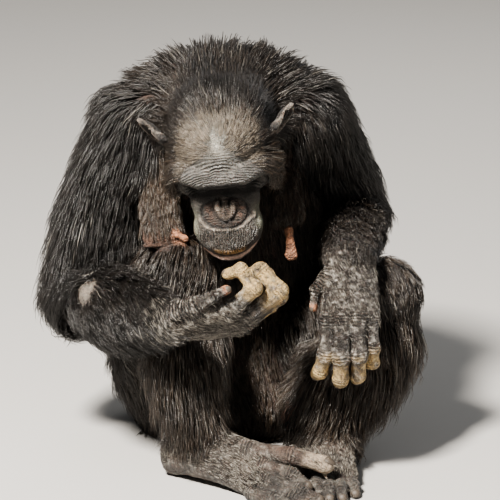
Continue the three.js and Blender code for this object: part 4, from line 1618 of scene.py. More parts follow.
class Nails:
    """Nails: thin curved plates on the back of each finger's and toe's tip."""

    STEPS = 9
    SPAN = math.radians(58)
    THICK = 0.9
    PROUD = 0.55

    def plate(self, chain: Chain) -> tuple[Array, Array]:
        """One nail.

        Args:
            chain: the digit that carries it.

        Returns:
            Its corners and its faces.
        """
        tip, radius = chain.joints[-1], chain.radii[-1]
        way = unit(chain.joints[-1] - chain.joints[-2])
        back = chain.back()
        side = np.cross(way, back)
        n = self.STEPS
        u, v = np.meshgrid(np.linspace(-1, 1, n), np.linspace(-1, 1, n), indexing="ij")
        angle = u * self.SPAN * (1 - 0.25 * np.maximum(-v, 0) ** 2)
        forward = (0.5 + 0.62 * v - 0.16 * np.maximum(v, 0) * u**2) * radius
        cap = np.sqrt(np.maximum(radius**2 - np.maximum(forward, 0) ** 2 * 0.8, (0.45 * radius) ** 2))
        edge = np.maximum(np.abs(u), np.abs(v)) ** 6
        sheets = []
        for lift in (self.PROUD, self.PROUD - self.THICK):
            reach = cap + lift * (1 - 0.75 * edge) - 0.2
            offsets = zip((way, back, side), (forward, np.cos(angle) * reach, np.sin(angle) * reach))
            sheets.append(sum((axis * far[..., None] for axis, far in offsets), tip).reshape(-1, 3))
        number = np.arange(n * n).reshape(n, n)
        ring = [number[:-1, :-1], number[:-1, 1:], number[1:, 1:], number[1:, :-1]]
        top = np.stack(ring, axis=-1).reshape(-1, 4)
        under = top[:, ::-1] + n * n
        rim = np.concatenate([number[0, :-1], number[:-1, -1], number[-1, :0:-1], number[:0:-1, 0]])
        following = np.roll(rim, -1)
        wall = np.stack([following, rim, rim + n * n, following + n * n], axis=1)
        return np.vstack(sheets), np.concatenate([top, under, wall])

    def build(self, palms: dict[str, Palm]) -> bpy.types.Object:
        """Makes all the nails as one piece.

        Args:
            palms: the hands and feet.

        Returns:
            The nails' object.
        """
        points, faces, start = [], [], 0
        for palm in palms.values():
            for chain in palm.digits.values():
                corners, quads = self.plate(chain)
                points.append(corners)
                faces.append(quads + start)
                start += len(corners)
        return mesh_object("nails", np.vstack(points), np.vstack(faces))


@dataclass(frozen=True)
class Pelt:
    """How the hair of one part grows.

    Attributes:
        part: the part that it grows on.
        way: 1 where it runs with the limb, -1 where it runs back along it, 0 where it radiates.
        length: length of a long hair.
        density: tufts on each square centimetre.
        width: width of a tuft.
        fall: a direction that the hair turns towards, with its strength.
        droop: how far hair on the underside hangs, as a share of its length.
        clump: how far tufts gather at their tips, from 0 to 1.
        grey: share of grey hairs.
        brown: how brown the tips are, from 0 to 1.
        short: whether the hair is so short that one bend is enough.
        zone: the region of the head that it is on.
    """

    part: str
    way: float
    length: float
    density: float
    width: float = 1.1
    fall: Point = (0.0, 0.0, 0.0)
    droop: float = 0.25
    clump: float = 0.35
    grey: float = 0.05
    brown: float = 0.2
    short: bool = False
    zone: str = ""


LEG_R, LEG_L = (-0.3, -0.5, -0.9), (0.25, -0.5, -0.9)
SHIN_R, SHIN_L = (-0.12, -0.2, -0.36), (0.12, -0.2, -0.36)
PELTS = [
    Pelt("torso", -1, 68, 7.8, width=1.2, droop=0.15, clump=0.45, grey=0.03),
    Pelt("neck", -1, 46, 16, width=1.0, grey=0.04),
    Pelt("head", 0, 22, 52, width=0.5, droop=0.0, clump=0.3, grey=0.25, brown=0.6, short=True, zone="fore"),
    Pelt("head", 0, 44, 15, width=0.85, clump=0.45, grey=0.06, brown=0.35, zone="crown"),
    Pelt("upper_arm_r", 1, 86, 12, fall=(-0.05, -0.08, -0.13), clump=0.55, grey=0.01, brown=0.06),
    Pelt("upper_arm_l", 1, 76, 12, fall=(0.04, -0.08, -0.13), clump=0.55, grey=0.01, brown=0.06),
    Pelt("forearm_r", 1, 50, 13, width=1.0, fall=(-0.1, -0.1, -0.4), droop=0.5, grey=0.01, brown=0.08),
    Pelt("forearm_l", 1, 32, 11, width=0.9, fall=(0.2, -0.1, -0.2), droop=0.2, grey=0.04),
    Pelt("thigh_r", 0.35, 64, 7.8, width=1.15, fall=LEG_R, droop=0.4, grey=0.08, brown=0.35),
    Pelt("thigh_l", 0.35, 54, 7.4, width=1.15, fall=LEG_L, droop=0.4, grey=0.08, brown=0.35),
    Pelt("shin_r", 1, 62, 12, fall=SHIN_R, droop=0.2, grey=0.06, brown=0.5),
    Pelt("shin_l", 1, 56, 11, fall=SHIN_L, droop=0.2, grey=0.08, brown=0.6),
    Pelt("breast_r", 1, 52, 24, width=0.75, grey=0.08, brown=0.9, clump=0.45),
    Pelt("breast_l", 1, 34, 26, width=0.7, grey=0.1, brown=0.9),
    Pelt("hand_r", 1, 17, 46, width=0.55, fall=(0.1, 0, -0.4), droop=0.0, grey=0.4, brown=0.5, short=True),
    Pelt("hand_l", 1, 19, 20, width=0.5, fall=(0.6, 0, 0), droop=0.0, grey=0.2, brown=0.3, short=True),
    Pelt("foot_r", 1, 15, 36, width=0.55, droop=0.0, grey=0.45, brown=0.5, short=True),
    Pelt("foot_l", 1, 15, 36, width=0.55, droop=0.0, grey=0.45, brown=0.5, short=True),
]


@dataclass
class Roots:
    """Where tufts grow: places, directions and looks, one row for each tuft."""

    at: Array
    out: Array
    lie: Array
    length: Array
    height: Array
    width: Array
    droop: Array
    base: Array
    tip: Array
    patch: Array

    def some(self, rows: Array | slice) -> "Roots":
        """Some of the tufts."""
        return Roots(**{name: values[rows] for name, values in vars(self).items()})


class Coat:
    """The coat: tapered three-sided tufts that follow the lie of the hair.

    One tuft in each few is laid along the body in full, and those round it follow it and gather
    towards its tip.

    Attributes:
        STEPS, SWELL, BLEND: shares of the way along a tuft, long or short, how wide it is there, and how
            far its colour has turned to the tip's.
        BREAST_TALL, FORE_TALL, PALM_TALL: how high the hair stands on parts with no height of their own.
        FALL, CLIMB, DROP: how steeply a tuft may fall or rise, and how far it is drawn back at once.
        REACH, GATHER: how near a leader counts in full, and how near tufts gather.
        STRAY: how far tips stray, as a share of their length.
        BACK: where the coat thins out and its tufts widen, from front to back.
        LEADERS: one tuft in this many leads.
        SPARE: how much of the coat the back goes without.
        FLAT, SUNK: a tuft's thickness to its width, and how deep it is rooted.
        WHORL: where the head's hair starts, in the head's frame.
        PATCH: a tuft's size on the unwrap.
        LIMIT: the most tufts in one piece.
    """

    STEPS = {False: np.array([0.0, 0.36, 0.72, 1.0]), True: np.array([0.0, 0.5, 1.0])}
    SWELL = {False: (0.75, 1.0, 0.7), True: (0.85, 0.8)}
    BLEND = {False: (0.0, 0.45, 0.8, 1.0), True: (0.0, 0.6, 1.0)}
    BREAST_TALL, FORE_TALL, PALM_TALL = 5.0, 3.0, 1.8
    FALL, CLIMB, DROP = 0.6, 0.85, 12
    REACH, GATHER = 25, 20
    STRAY = 0.05
    BACK = (10, 70)
    LEADERS = 12
    SPARE = 0.45
    FLAT = 0.4
    SUNK = 1.6
    WHORL = (0, -52, 26)
    PATCH = 0.003
    LIMIT = 12000
    DARK = (0.011, 0.0095, 0.0085)
    BROWN = (0.110, 0.075, 0.048)
    GREY = (0.210, 0.190, 0.160)
    FORE = (0.370, 0.310, 0.240)

    def __init__(self, flesh: Flesh, surface: Surface, seed: int) -> None:
        """Works out which part each face of the skin belongs to.

        Args:
            flesh: the body's form.
            surface: the skin.
            seed: what the draws start from.
        """
        self.flesh = flesh
        self.draw = np.random.default_rng(seed)
        self.corners = surface.points[surface.quads]
        a, b, c, d = (self.corners[:, i] for i in range(4))
        self.area = 0.5 * np.linalg.norm(np.cross(c - a, d - b), axis=1)
        self.centre = self.corners.mean(axis=1)
        measured = flesh.measure(self.centre)
        self.owner = np.array(list(measured))[np.argmin(list(measured.values()), axis=0)]

    def cover(self, pelt: Pelt, points: Array) -> tuple[Array, Array]:
        """How thick and how tall the coat is at places on a part.

        Args:
            pelt: the part's pelt.
            points: places on the part.

        Returns:
            A share of its density, and how high the tips stand over the flesh.
        """
        if pelt.part == "head":
            return self.head_cover(pelt, points)
        if pelt.part in BREASTS:
            away = self.flesh.breasts[pelt.part].nipple.distance(points)
            return ramp(away, 2, 12) * ramp(points[:, 2], 318, 334), np.full(len(points), self.BREAST_TALL)
        if pelt.part in self.flesh.palms:
            return self.palm_cover(pelt, points)
        limb = self.flesh.limbs[pelt.part]
        place = limb.locate(points)
        tall = limb.coat(place)
        share = np.ones(len(points))
        if pelt.part == "torso":
            front = ramp(-np.sin(place.angle), 0.1, 0.7)
            share = 1 - 0.45 * front * ramp(points[:, 2], 270, 330)
            tall = tall * (1 - 0.35 * front)
        if pelt.part.startswith("shin"):
            inner = ramp(np.cos(place.angle) * (1 if pelt.part == "shin_r" else -1), 0.3, 0.8)
            share = 1 - 0.7 * inner * ramp(place.t, 0.5, 0.8)
        bald = elbow_patch(points)
        return share * (1 - 0.9 * bald), tall * (1 - 0.7 * bald)

    def head_cover(self, pelt: Pelt, points: Array) -> tuple[Array, Array]:
        """Cover of the head: fine on the forehead, long on the crown and sides, none on the face."""
        q = self.flesh.head.local(points)
        x, y = np.abs(q[:, 0]), q[:, 1]
        v = Head.height(q) + Head.BOW * x**2
        levels = [-175, -150, -130, -100, -80, -68, -50, -40, -32, -24]
        widths = [34, 42, 47, 50, 52, 56, 55, 46, 26, 0]
        outside = x - np.interp(v, levels, widths)
        share = np.maximum(ramp(outside, -3, 6), ramp(y, -38, -26))
        share = np.maximum(share, 0.5 * ramp(q[:, 2], -114, -124) * ramp(y, -104, -92))
        share *= 1 - 0.9 * bump(x, 0, 15) * bump(v, -12, 30)
        share *= ramp(x, 76, 66)
        crown = np.maximum(ramp(y, -24, 4), ramp(x, 46, 58))
        if pelt.zone == "fore":
            return share * (1 - crown), np.full(len(points), self.FORE_TALL)
        side = ramp(x, 44, 60) * ramp(v, 0, -40)
        return share * crown, 7 + 8 * ramp(y, -20, 30) + 9 * side + 5 * NOISE(points, 24.0)

    def palm_cover(self, pelt: Pelt, points: Array) -> tuple[Array, Array]:
        """Cover of a hand or foot: short hair on its back, none on its digits."""
        palm = self.flesh.palms[pelt.part]
        place = palm.limb.locate(points)
        back = np.sin(place.angle) * (-1 if pelt.part == "hand_r" else 1)
        if pelt.part.startswith("foot"):
            back = self.flesh.normal(points)[:, 2]
        share = ramp(back, -0.3, 0.3) * ramp(palm.digit_distance(points), -1, 6)
        return share, np.full(len(points), self.PALM_TALL)

    def lie(self, pelt: Pelt, points: Array, out: Array) -> Array:
        """The direction that the hair lies in, along the skin.

        Args:
            pelt: the part's pelt.
            points: the roots.
            out: the directions straight out of the skin.

        Returns:
            Unit directions.
        """
        if pelt.part == "head":
            head = self.flesh.head
            way = (head.local(points) - np.array(self.WHORL)) @ head.turn.T
        else:
            way = self.flesh.limb(pelt.part).locate(points).along * pelt.way
        way = unit(way) * (abs(pelt.way) or 1)
        way = way + np.array(pelt.fall)
        way = unit(way - out * dot(way, out)[:, None])
        swirl = 0.32 * NOISE(points, 60.0) + 0.14 * NOISE(points + 99, 22.0)
        swirl = swirl + self.draw.normal(0, 0.07, len(points))
        return unit(way + np.cross(out, way) * swirl[:, None])

    def looks(self, pelt: Pelt, points: Array) -> tuple[Array, Array]:
        """Colours at the root and the tip of each tuft.

        Args:
            pelt: the part's pelt.
            points: the roots.

        Returns:
            Two sets of colours.
        """
        count = len(points)
        streak = 0.5 + 0.5 * NOISE(points, 26.0)
        grey = np.full(count, pelt.grey) * (0.4 + 1.2 * streak)
        brown = np.full(count, pelt.brown) * (0.5 + streak)
        if pelt.part == "head":
            q = self.flesh.head.local(points)
            fore = ramp(q[:, 1], 20, -36) * ramp(np.abs(q[:, 0]), 64, 36) * ramp(q[:, 2], -30, 0)
            chin = ramp(q[:, 2], -90, -110)
            side = ramp(np.abs(q[:, 0]), 42, 54) * ramp(q[:, 2], 10, -10) * ramp(q[:, 1], 10, -20)
            grey = grey * (0.2 + 1.6 * fore) + 0.6 * chin + 0.15 * side
            brown = brown * (0.3 + 1.4 * fore) + 0.8 * side
        if pelt.part == "torso":
            front = ramp(points[:, 1], -30, -80) * ramp(points[:, 2], 440, 400)
            brown = brown + 0.6 * front
        if pelt.part == "forearm_r":
            grey = grey + 0.5 * ramp(distance_from(points, JOINTS["wrist"]["r"]), 75, 25)
        dark = tiled(self.DARK, count)
        dark = dark * self.draw.uniform(0.4, 1.6, (count, 1)) * np.exp(0.6 * NOISE(points, 16.0))[:, None]
        tip = mix(dark, self.BROWN, np.clip(brown * self.draw.uniform(0.2, 1.2, count), 0, 1))
        pale = self.draw.random(count) < grey
        bright = 2.2 if pelt.part in self.flesh.palms else 1.0
        tone = np.array(self.GREY) * self.draw.uniform(0.5, 1.3, (count, 1)) * bright
        tip[pale] = tone[pale]
        base = dark + (tip - dark) * 0.3
        if pelt.zone == "fore":
            tone = fore * (self.draw.random(count) < 0.62) * self.draw.uniform(0.45, 1.0, count)
            tip, base = mix(tip, self.FORE, tone), mix(base, self.FORE, 0.35 * tone)
        return base, tip

    def sow(self, pelt: Pelt) -> Roots:
        """Draws the roots of one part's tufts.

        Args:
            pelt: the part's pelt.

        Returns:
            The roots.
        """
        mine = np.flatnonzero(self.owner == pelt.part)
        share, _ = self.cover(pelt, self.centre[mine])
        weight = self.area[mine] * share * (1 - self.SPARE * ramp(self.centre[mine, 1], *self.BACK))
        count = int(weight.sum() * pelt.density / 100)
        picked = mine[self.draw.choice(len(mine), count, p=weight / weight.sum())]
        u, v = self.draw.random((2, count, 1))
        a, b, c, d = (self.corners[picked, i] for i in range(4))
        at = (a * (1 - u) + b * u) * (1 - v) + (d * (1 - u) + c * u) * v
        out = unit(np.cross(c - a, d - b))
        _, tall = self.cover(pelt, at)
        height = tall * self.draw.uniform(0.35, 1.0, count)
        length = np.minimum(pelt.length, 2.6 * tall + 8) * self.draw.uniform(0.65, 1.15, count)
        under = 0.5 - 0.5 * out[:, 2]
        base, tip = self.looks(pelt, at)
        return Roots(
            at=at,
            out=out,
            lie=self.lie(pelt, at, out),
            length=length,
            height=height,
            width=pelt.width * self.draw.uniform(0.7, 1.25, count) * (1 + 0.35 * ramp(at[:, 1], *self.BACK)),
            droop=pelt.droop * under,
            base=base,
            tip=tip,
            patch=self.unwrap(pelt, at),
        )

    def unwrap(self, pelt: Pelt, points: Array) -> Array:
        """The roots' places on a flat unwrap of the part: round it one way and along it the other.

        Args:
            pelt: the part's pelt.
            points: the roots.

        Returns:
            Two numbers from 0 to 1 for each root.
        """
        if pelt.part == "head":
            q = self.flesh.head.local(points) - np.array([0, -34, -34])
            turn = np.arctan2(q[:, 0], q[:, 1])
            along = np.arccos(np.clip(unit(q)[:, 2], -1, 1)) / math.pi
        else:
            place = self.flesh.limb(pelt.part).locate(points)
            turn, along = place.angle, place.t
        return np.stack([turn / (2 * math.pi) + 0.5, along], axis=1) * 0.98 + 0.01

    def bare_distance(self, pelt: Pelt, points: Array) -> Array:
        """Distance from the parts that this part's hair must not grow into."""
        names = [name for name in (*HANDS, "head", *BREASTS) if name != pelt.part]
        if pelt.part == "neck":
            names.remove("head")
        away = np.min([self.flesh.part_distance(name, points) for name in names], axis=0)
        if pelt.part in ("head", "neck"):
            head = self.flesh.head
            away = np.minimum(away, head.ear_distance(folded(head.local(points))))
        if pelt.part.endswith("arm_r"):
            centre, reach = ELBOW_PATCH
            patch = distance_from(points, centre) - 0.5 * reach + 7 * NOISE(points, 9.0)
            away = np.minimum(away, patch)
        return away

    def lead(self, pelt: Pelt, roots: Roots) -> Array:
        """Lays tufts along the body from their roots.

        Args:
            pelt: the part's pelt.
            roots: the roots.

        Returns:
            Places along each tuft.
        """
        line = [roots.at]
        out, place = roots.out, roots.at
        stand = np.zeros(len(place))
        steps = self.STEPS[pelt.short]
        for before, s in zip(steps, steps[1:]):
            way = unit(roots.lie - out * dot(roots.lie, out)[:, None])
            rise = roots.height * (1 - (1 - s) ** 2)
            step = roots.length * (s - before)
            climb = np.clip(rise - stand, -self.FALL * step, self.CLIMB * step)
            onward = np.sqrt(np.maximum(step**2 - climb**2, 0))
            place = place + way * onward[:, None] + out * climb[:, None]
            place[:, 2] -= roots.droop * step * 2 * s
            place[:, 2] = np.maximum(place[:, 2], 1.0 + 2.0 * s)
            stand = self.flesh.distance(place)
            out = unit(self.flesh.rises(place, stand, 0.8))
            lift = np.maximum(0.5 * rise - stand, 0) - np.clip(stand - 1.05 * rise, 0, self.DROP)
            place = place + out * lift[:, None]
            stand = stand + lift
            line.append(place)
        return np.stack(line, axis=1)

    def follow(self, pelt: Pelt, roots: Roots, leaders: Array, lines: Array) -> Array:
        """Lays every tuft after the leaders round it, drawn a little towards the nearest one.

        Args:
            pelt: the part's pelt.
            roots: all the roots.
            leaders: which of them lead.
            lines: the leaders' places.

        Returns:
            Places along each tuft.
        """
        tree = kdtree.KDTree(len(leaders))
        for number, leader in enumerate(leaders):
            tree.insert(Vector(roots.at[leader]), number)
        tree.balance()
        found = [tree.find_n(Vector(root), 3) for root in roots.at]
        near = np.array([[hit[1] for hit in hits] for hits in found])
        away = np.array([[hit[2] for hit in hits] for hits in found])
        weight = 1 / (away + 1.0)
        weight[away > self.REACH] *= 0.01
        weight /= weight.sum(axis=1, keepdims=True)
        steps = self.STEPS[pelt.short]
        shift = lines - lines[:, :1]
        shift = shift / roots.length[leaders][:, None, None]
        blended = (shift[near] * weight[:, :, None, None]).sum(axis=1)
        blended /= np.maximum(np.linalg.norm(blended[:, -1:], axis=2, keepdims=True), 0.5)
        line = roots.at[:, None] + blended * roots.length[:, None, None]
        spread = roots.height - (roots.height[leaders][near] * weight).sum(axis=1)
        line += roots.out[:, None] * (spread[:, None] * (1 - (1 - steps) ** 2))[:, :, None] * 0.7
        stray = self.draw.normal(0, self.STRAY, (len(line), 1, 3)) * roots.length[:, None, None]
        line += stray * steps[None, :, None] ** 1.5
        share = pelt.clump * self.draw.uniform(0.4, 1.0, len(line)) * (away[:, 0] < self.GATHER)
        pull = lines[near[:, 0]] + (roots.at - roots.at[leaders[near[:, 0]]])[:, None] * 0.3
        line += (pull - line) * share[:, None, None] * steps[None, :, None] ** 1.4
        line[:, 0] = roots.at - roots.out * self.SUNK
        line[..., 2] = np.maximum(line[..., 2], 1.2)
        return line

    def tufts(self, name: str, short: bool, line: Array, roots: Roots) -> bpy.types.Object:
        """Makes tufts as one mesh.

        Args:
            name: the piece's name.
            short: whether the tufts have one bend.
            line: places along each tuft.
            roots: the tufts' roots.

        Returns:
            The piece.
        """
        count = len(line)
        points = []
        swells = self.SWELL[short]
        for i, swell in enumerate(swells):
            way = unit(line[:, i + 1] - line[:, max(i - 1, 0)])
            side = unit(np.cross(way, roots.out))
            top = np.cross(side, way)
            half = (roots.width * swell / 2)[:, None]
            for across, above in ((1, -0.5), (-1, -0.5), (0, 1)):
                points.append(line[:, i] + side * half * across + top * half * above * 2 * self.FLAT)
        points.append(line[:, -1])
        rows = len(points)
        stacked = np.stack(points, axis=1).reshape(-1, 3)
        first = (np.arange(count) * rows)[:, None]
        quads = []
        for i in range(len(swells) - 1):
            for k in range(3):
                j = (k + 1) % 3
                quads.append(first + np.array([3 * i + k, 3 * i + j, 3 * i + 3 + j, 3 * i + 3 + k]))
        last = 3 * (len(swells) - 1)
        caps = [first + np.array([last + k, last + (k + 1) % 3, rows - 1]) for k in range(3)]
        caps.append(first + np.array([2, 1, 0]))
        piece = mesh_object(name, stacked, [np.concatenate(quads), np.concatenate(caps)])
        levels = self.BLEND[short]
        blend = np.array([*np.repeat(levels[:-1], 3), levels[-1]])[None, :, None]
        colours = roots.base[:, None] * (1 - blend) + roots.tip[:, None] * blend
        keep(piece, "tint", colours.reshape(-1, 3))
        corner = np.array([[k, i] for i in range(len(swells)) for k in range(3)] + [[1, 3]]) / 3
        flat = (roots.patch[:, None] + (corner - 0.5) * self.PATCH).reshape(-1, 2)
        layer = piece.data.uv_layers.new(name="OFBake")
        index = np.empty(len(piece.data.loops), dtype=np.int32)
        piece.data.loops.foreach_get("vertex_index", index)
        layer.data.foreach_set("uv", flat[index].astype(np.float32).ravel())
        return piece

    def build(self, pelt: Pelt) -> list[bpy.types.Object]:
        """Makes the coat of one part.

        Args:
            pelt: the part's pelt.

        Returns:
            Its pieces.
        """
        roots = self.sow(pelt)
        leaders = np.arange(0, len(roots.at), self.LEADERS)
        line = self.follow(pelt, roots, leaders, self.lead(pelt, roots.some(leaders)))
        clear = np.min([self.bare_distance(pelt, line[:, i]) for i in range(1, line.shape[1])], axis=0) > 1.5
        line, roots = line[clear], roots.some(clear)
        parts = max(1, math.ceil(len(line) / self.LIMIT))
        pieces = []
        for number in range(parts):
            rows = slice(number, None, parts)
            suffix = f"_{number + 1}" if parts > 1 else ""
            name = f"coat_{pelt.part}{'_' if pelt.zone else ''}{pelt.zone}{suffix}"
            pieces.append(self.tufts(name, pelt.short, line[rows], roots.some(rows)))
        return pieces


class Shade:
    """A shader socket that arithmetic works on: each step adds a Math node."""

    def __init__(self, graph: "Graph", socket: bpy.types.NodeSocket) -> None:
        """Wraps an output socket of a graph."""
        self.graph = graph
        self.socket = socket

    def _math(self, operation: str, *values: "Shade | float") -> "Shade":
        """Adds a Math node on values, in their order."""
        return self.graph.make("ShaderNodeMath", {"operation": operation}, dict(enumerate(values)))

    def __add__(self, other: "Shade | float") -> "Shade":
        """Sum."""
        return self._math("ADD", self, other)

    def __sub__(self, other: "Shade | float") -> "Shade":
        """Difference."""
        return self._math("SUBTRACT", self, other)

    def __rsub__(self, other: float) -> "Shade":
        """Difference from a number."""
        return self._math("SUBTRACT", other, self)

    def __mul__(self, other: "Shade | float") -> "Shade":
        """Product."""
        return self._math("MULTIPLY", self, other)

    __radd__ = __add__
    __rmul__ = __mul__

    def at_least(self, low: float) -> "Shade":
        """The value, or the limit where that is larger."""
        return self._math("MAXIMUM", self, low)

    def clamped(self) -> "Shade":
        """The value kept from 0 to 1."""
        return self.graph.make("ShaderNodeClamp", {}, {"Value": self})


class Graph:
    """A material's nodes."""

    def __init__(self, name: str) -> None:
        """Starts a material.

        Args:
            name: the material's name.
        """
        self.material = bpy.data.materials.new(name)
        self.material.use_nodes = True
        self.tree = self.material.node_tree
        self.shader = self.tree.nodes["Principled BSDF"]

    def make(self, kind: str, settings: dict[str, object], inputs: dict, output: str | int = 0) -> Shade:
        """Adds a node.

        Args:
            kind: the node's type.
            settings: its own settings, set first.
            inputs: values or links of its sockets, by name or number.
            output: the socket that is used.

        Returns:
            The output, ready for arithmetic.
        """
        node = self.tree.nodes.new(kind)
        for name, value in settings.items():
            setattr(node, name, value)
        for name, value in inputs.items():
            if isinstance(value, Shade):
                self.tree.links.new(value.socket, node.inputs[name])
            else:
                node.inputs[name].default_value = value
        return Shade(self, node.outputs[output])

    def attribute(self, name: str, output: str) -> Shade:
        """A value kept at the corners of the mesh."""
        return self.make("ShaderNodeAttribute", {"attribute_name": name}, {}, output)

    def noise(self, scale: float, detail: float = 3.0, warp: float = 0.0) -> Shade:
        """Noise over the object, with its scale in cells to a metre."""
        place = self.make("ShaderNodeTexCoord", {}, {}, "Object")
        values = {"Vector": place, "Scale": scale, "Detail": detail, "Distortion": warp}
        return self.make("ShaderNodeTexNoise", {}, values, "Fac")

    def cells(self, scale: float) -> Shade:
        """Distance to the edges of small cells, with the scale in cells to a metre."""
        place = self.make("ShaderNodeTexCoord", {}, {}, "Object")
        values = {"Vector": place, "Scale": scale}
        return self.make("ShaderNodeTexVoronoi", {"feature": "DISTANCE_TO_EDGE"}, values, "Distance")

    def scaled(self, colour: Shade | Point, share: Shade) -> Shade:
        """A colour made darker or lighter by a value."""
        return self.make("ShaderNodeVectorMath", {"operation": "SCALE"}, {0: colour, "Scale": share})

    def bumped(self, height: Shade, depth: float) -> Shade:
        """A surface direction from heights that are worth a depth in metres."""
        return self.make("ShaderNodeBump", {}, {"Height": height, "Strength": 1.0, "Distance": depth})

    def finish(self, links: dict[str, Shade], constants: dict[str, float | tuple]) -> bpy.types.Material:
        """Joins values to the shader.

        Args:
            links: what varies over the surface.
            constants: what is the same all over it.

        Returns:
            The material.
        """
        for name, value in constants.items():
            self.shader.inputs[name].default_value = value
        for name, shade in links.items():
            self.tree.links.new(shade.socket, self.shader.inputs[name])
        return self.material


@dataclass(frozen=True)
class SkinFinish:
    """Bare skin: mottled, wrinkled and a little oily, with painted shade and highlight on its folds."""

    pores: float = 1100.0
    creases: float = 420.0
    depth: float = 0.0016
    dull: float = 0.66
    oily: float = 0.42

    def material(self) -> bpy.types.Material:
        """Makes the material."""
        g = Graph("bare skin")
        fine, broad, warp = g.noise(self.pores, 3.0), g.noise(70.0, 4.0), g.noise(180.0, 3.0)
        crease = (g.cells(self.creases) * 6.0).clamped()
        wave = g.attribute("phase", "Fac") * (2 * math.pi) + warp * 5.0
        ridge = g.make("ShaderNodeMath", {"operation": "SINE"}, {0: wave}) * 0.5 + 0.5
        fold = g.attribute("fold", "Fac")
        middle = g.noise(330.0, 4.0, 0.6)
        height = ridge * fold * 1.9 + crease * 0.5 + fine * 0.4 + middle * 2.4
        # mottled tone with painted light: darker at crease edges and wrinkle furrows, lighter on crests
        tone = broad * 1.4 + middle * 2.0 + fine * 0.4 + crease * 0.25 + (ridge - 0.5) * fold * 1.2 - 1.0
        rough = self.dull - g.attribute("gloss", "Fac") * self.oily + fine * 0.16
        colour = g.scaled(g.attribute("tint", "Color"), tone.at_least(0.12))
        links = {"Base Color": colour, "Roughness": rough, "Normal": g.bumped(height, self.depth)}
        constants = {"Specular IOR Level": 0.65, "Subsurface Weight": 0.05, "Subsurface Scale": 0.004}
        return g.finish(links, constants)


@dataclass(frozen=True)
class FurFinish:
    """Hair: near black with a soft sheen, browner and greyer at some tips."""

    rough: float = 0.31
    streaks: float = 160.0

    def material(self) -> bpy.types.Material:
        """Makes the material."""
        g = Graph("fur")
        streak = g.noise(self.streaks, 3.0)
        colour = g.scaled(g.attribute("tint", "Color"), streak * 0.7 + 0.65)
        links = {
            "Base Color": colour,
            "Roughness": streak * 0.2 + (self.rough - 0.1),
            "Normal": g.bumped(g.noise(2600.0, 2.0), 0.0004),
        }
        return g.finish(links, {"Specular IOR Level": 0.8})


@dataclass(frozen=True)
class EyeFinish:
    """A wet eye."""

    def material(self) -> bpy.types.Material:
        """Makes the material."""
        g = Graph("wet eye")
        streak = g.noise(1400.0, 3.0)
        colour = g.scaled(g.attribute("tint", "Color"), streak * 0.8 + 0.6)
        links = {"Base Color": colour, "Roughness": streak * 0.08 + 0.04}
        return g.finish(links, {"Coat Weight": 1.0, "Coat Roughness": 0.03})


@dataclass(frozen=True)
class NailFinish:
    """Horn: dark, streaked and slightly glossy."""

    colour: Point = (0.070, 0.055, 0.042)

    def material(self) -> bpy.types.Material:
        """Makes the material."""
        g = Graph("nail horn")
        streak = g.noise(420.0, 4.0, 0.8)
        links = {
            "Base Color": g.scaled(self.colour, streak * 1.3 + 0.35),
            "Roughness": streak * 0.3 + 0.4,
            "Normal": g.bumped(g.noise(1200.0, 3.0), 0.0003),
        }
        return g.finish(links, {"Specular IOR Level": 0.5})


@dataclass(frozen=True)
class FloorFinish:
    """A plain pale floor."""

    colour: Point = (0.42, 0.405, 0.385)

    def material(self) -> bpy.types.Material:
        """Makes the material."""
        g = Graph("pale floor")
        return g.finish({"Roughness": g.noise(40.0) * 0.1 + 0.8}, {"Base Color": (*self.colour, 1)})


@dataclass
class Lamp:
    """A soft square light.

    Attributes:
        name: what it is called.
        at: its place in metres.
        size: its width in metres.
        power: its power in watts.
        colour: its colour.
    """

    name: str
    at: Point
    size: float
    power: float
    colour: Point = (1.0, 1.0, 1.0)


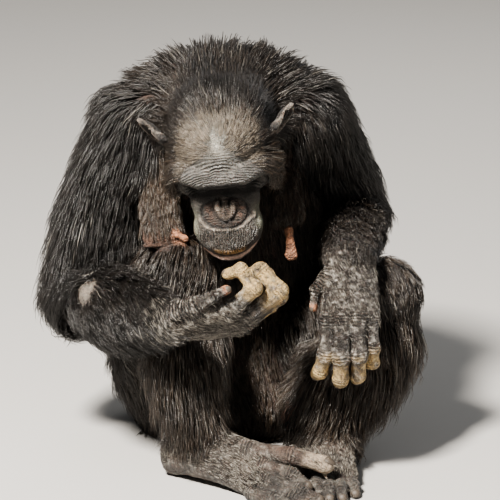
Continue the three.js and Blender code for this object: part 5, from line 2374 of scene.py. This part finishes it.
@dataclass
class Studio:
    """Floor, lights and camera. Places are metres."""

    target: Point = (0.028, -0.170, 0.300)
    distance: float = 5.0
    elevation: float = 17.0
    lens: float = 270.0
    sensor: float = 36.0
    lamps: tuple[Lamp, ...] = (
        Lamp("key", (-1.05, -1.9, 2.8), 0.5, 450, (1.0, 0.96, 0.90)),
        Lamp("fill", (2.2, -2.4, 1.1), 2.4, 16, (0.96, 0.98, 1.0)),
        Lamp("back", (0.6, 2.0, 1.9), 1.4, 16),
    )

    def build(self) -> None:
        """Makes the floor, the lights and the camera."""
        scene = bpy.context.scene
        reach = 9000.0
        corners = np.array([(-reach, -reach, 0), (reach, -reach, 0), (reach, reach, 0), (-reach, reach, 0)])
        floor = mesh_object("floor", corners, np.array([[0, 1, 2, 3]]))
        floor.data.materials.append(FloorFinish().material())
        world = bpy.data.worlds.new("soft surroundings")
        world.use_nodes = True
        background = world.node_tree.nodes["Background"]
        background.inputs["Color"].default_value = (0.86, 0.88, 0.90, 1)
        background.inputs["Strength"].default_value = 0.22
        scene.world = world
        scene.view_settings.look = "AgX - Medium High Contrast"
        target = Vector(self.target)
        for lamp in self.lamps:
            light = bpy.data.lights.new(lamp.name, "AREA")
            light.size = lamp.size
            light.energy = lamp.power
            light.color = lamp.colour
            holder = bpy.data.objects.new(lamp.name, light)
            holder.location = lamp.at
            holder.rotation_euler = (target - Vector(lamp.at)).to_track_quat("-Z", "Y").to_euler()
            scene.collection.objects.link(holder)
        camera = bpy.data.cameras.new("camera")
        camera.lens = self.lens
        camera.sensor_width = self.sensor
        camera.clip_end = 60
        holder = bpy.data.objects.new("camera", camera)
        tilt = math.radians(self.elevation)
        holder.location = target + Vector((0, -math.cos(tilt), math.sin(tilt))) * self.distance
        holder.rotation_euler = (math.pi / 2 - tilt, 0, 0)
        scene.collection.objects.link(holder)
        scene.camera = holder


def place(piece: bpy.types.Object, slot: str, material: bpy.types.Material) -> None:
    """Gives a piece its finish and joins it to the body.

    Args:
        piece: the piece.
        slot: the record's material slot; not used.
        material: its finish.
    """
    piece.data.materials.append(material)
    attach(piece, BODY)
    LOG.info("%s: %d triangles", piece.name, sum(len(p.vertices) - 2 for p in piece.data.polygons))


def main() -> None:
    """Builds the whole model."""
    logging.basicConfig(level=logging.INFO, format="%(message)s")
    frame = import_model()
    Studio().build()
    flesh = Flesh()
    skin = Skin(flesh)
    piece = skin.build()
    place(piece, "coat", SkinFinish().material())
    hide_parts(*(name for name in frame["nodes"] if not name.startswith("eye_")))
    eye = EyeFinish().material()
    for side in SIDES:
        ball = Eyes().build(flesh.head, side)
        place(ball, "eye", eye)
        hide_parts(f"eye_{side}")
    place(Nails().build(flesh.palms), "hand_skin", NailFinish().material())
    fur = FurFinish().material()
    coat = Coat(flesh, skin.surface, seed=21)
    for pelt in PELTS:
        for tufts in coat.build(pelt):
            place(tufts, "coat", fur)


if __name__ == "__main__":
    main()
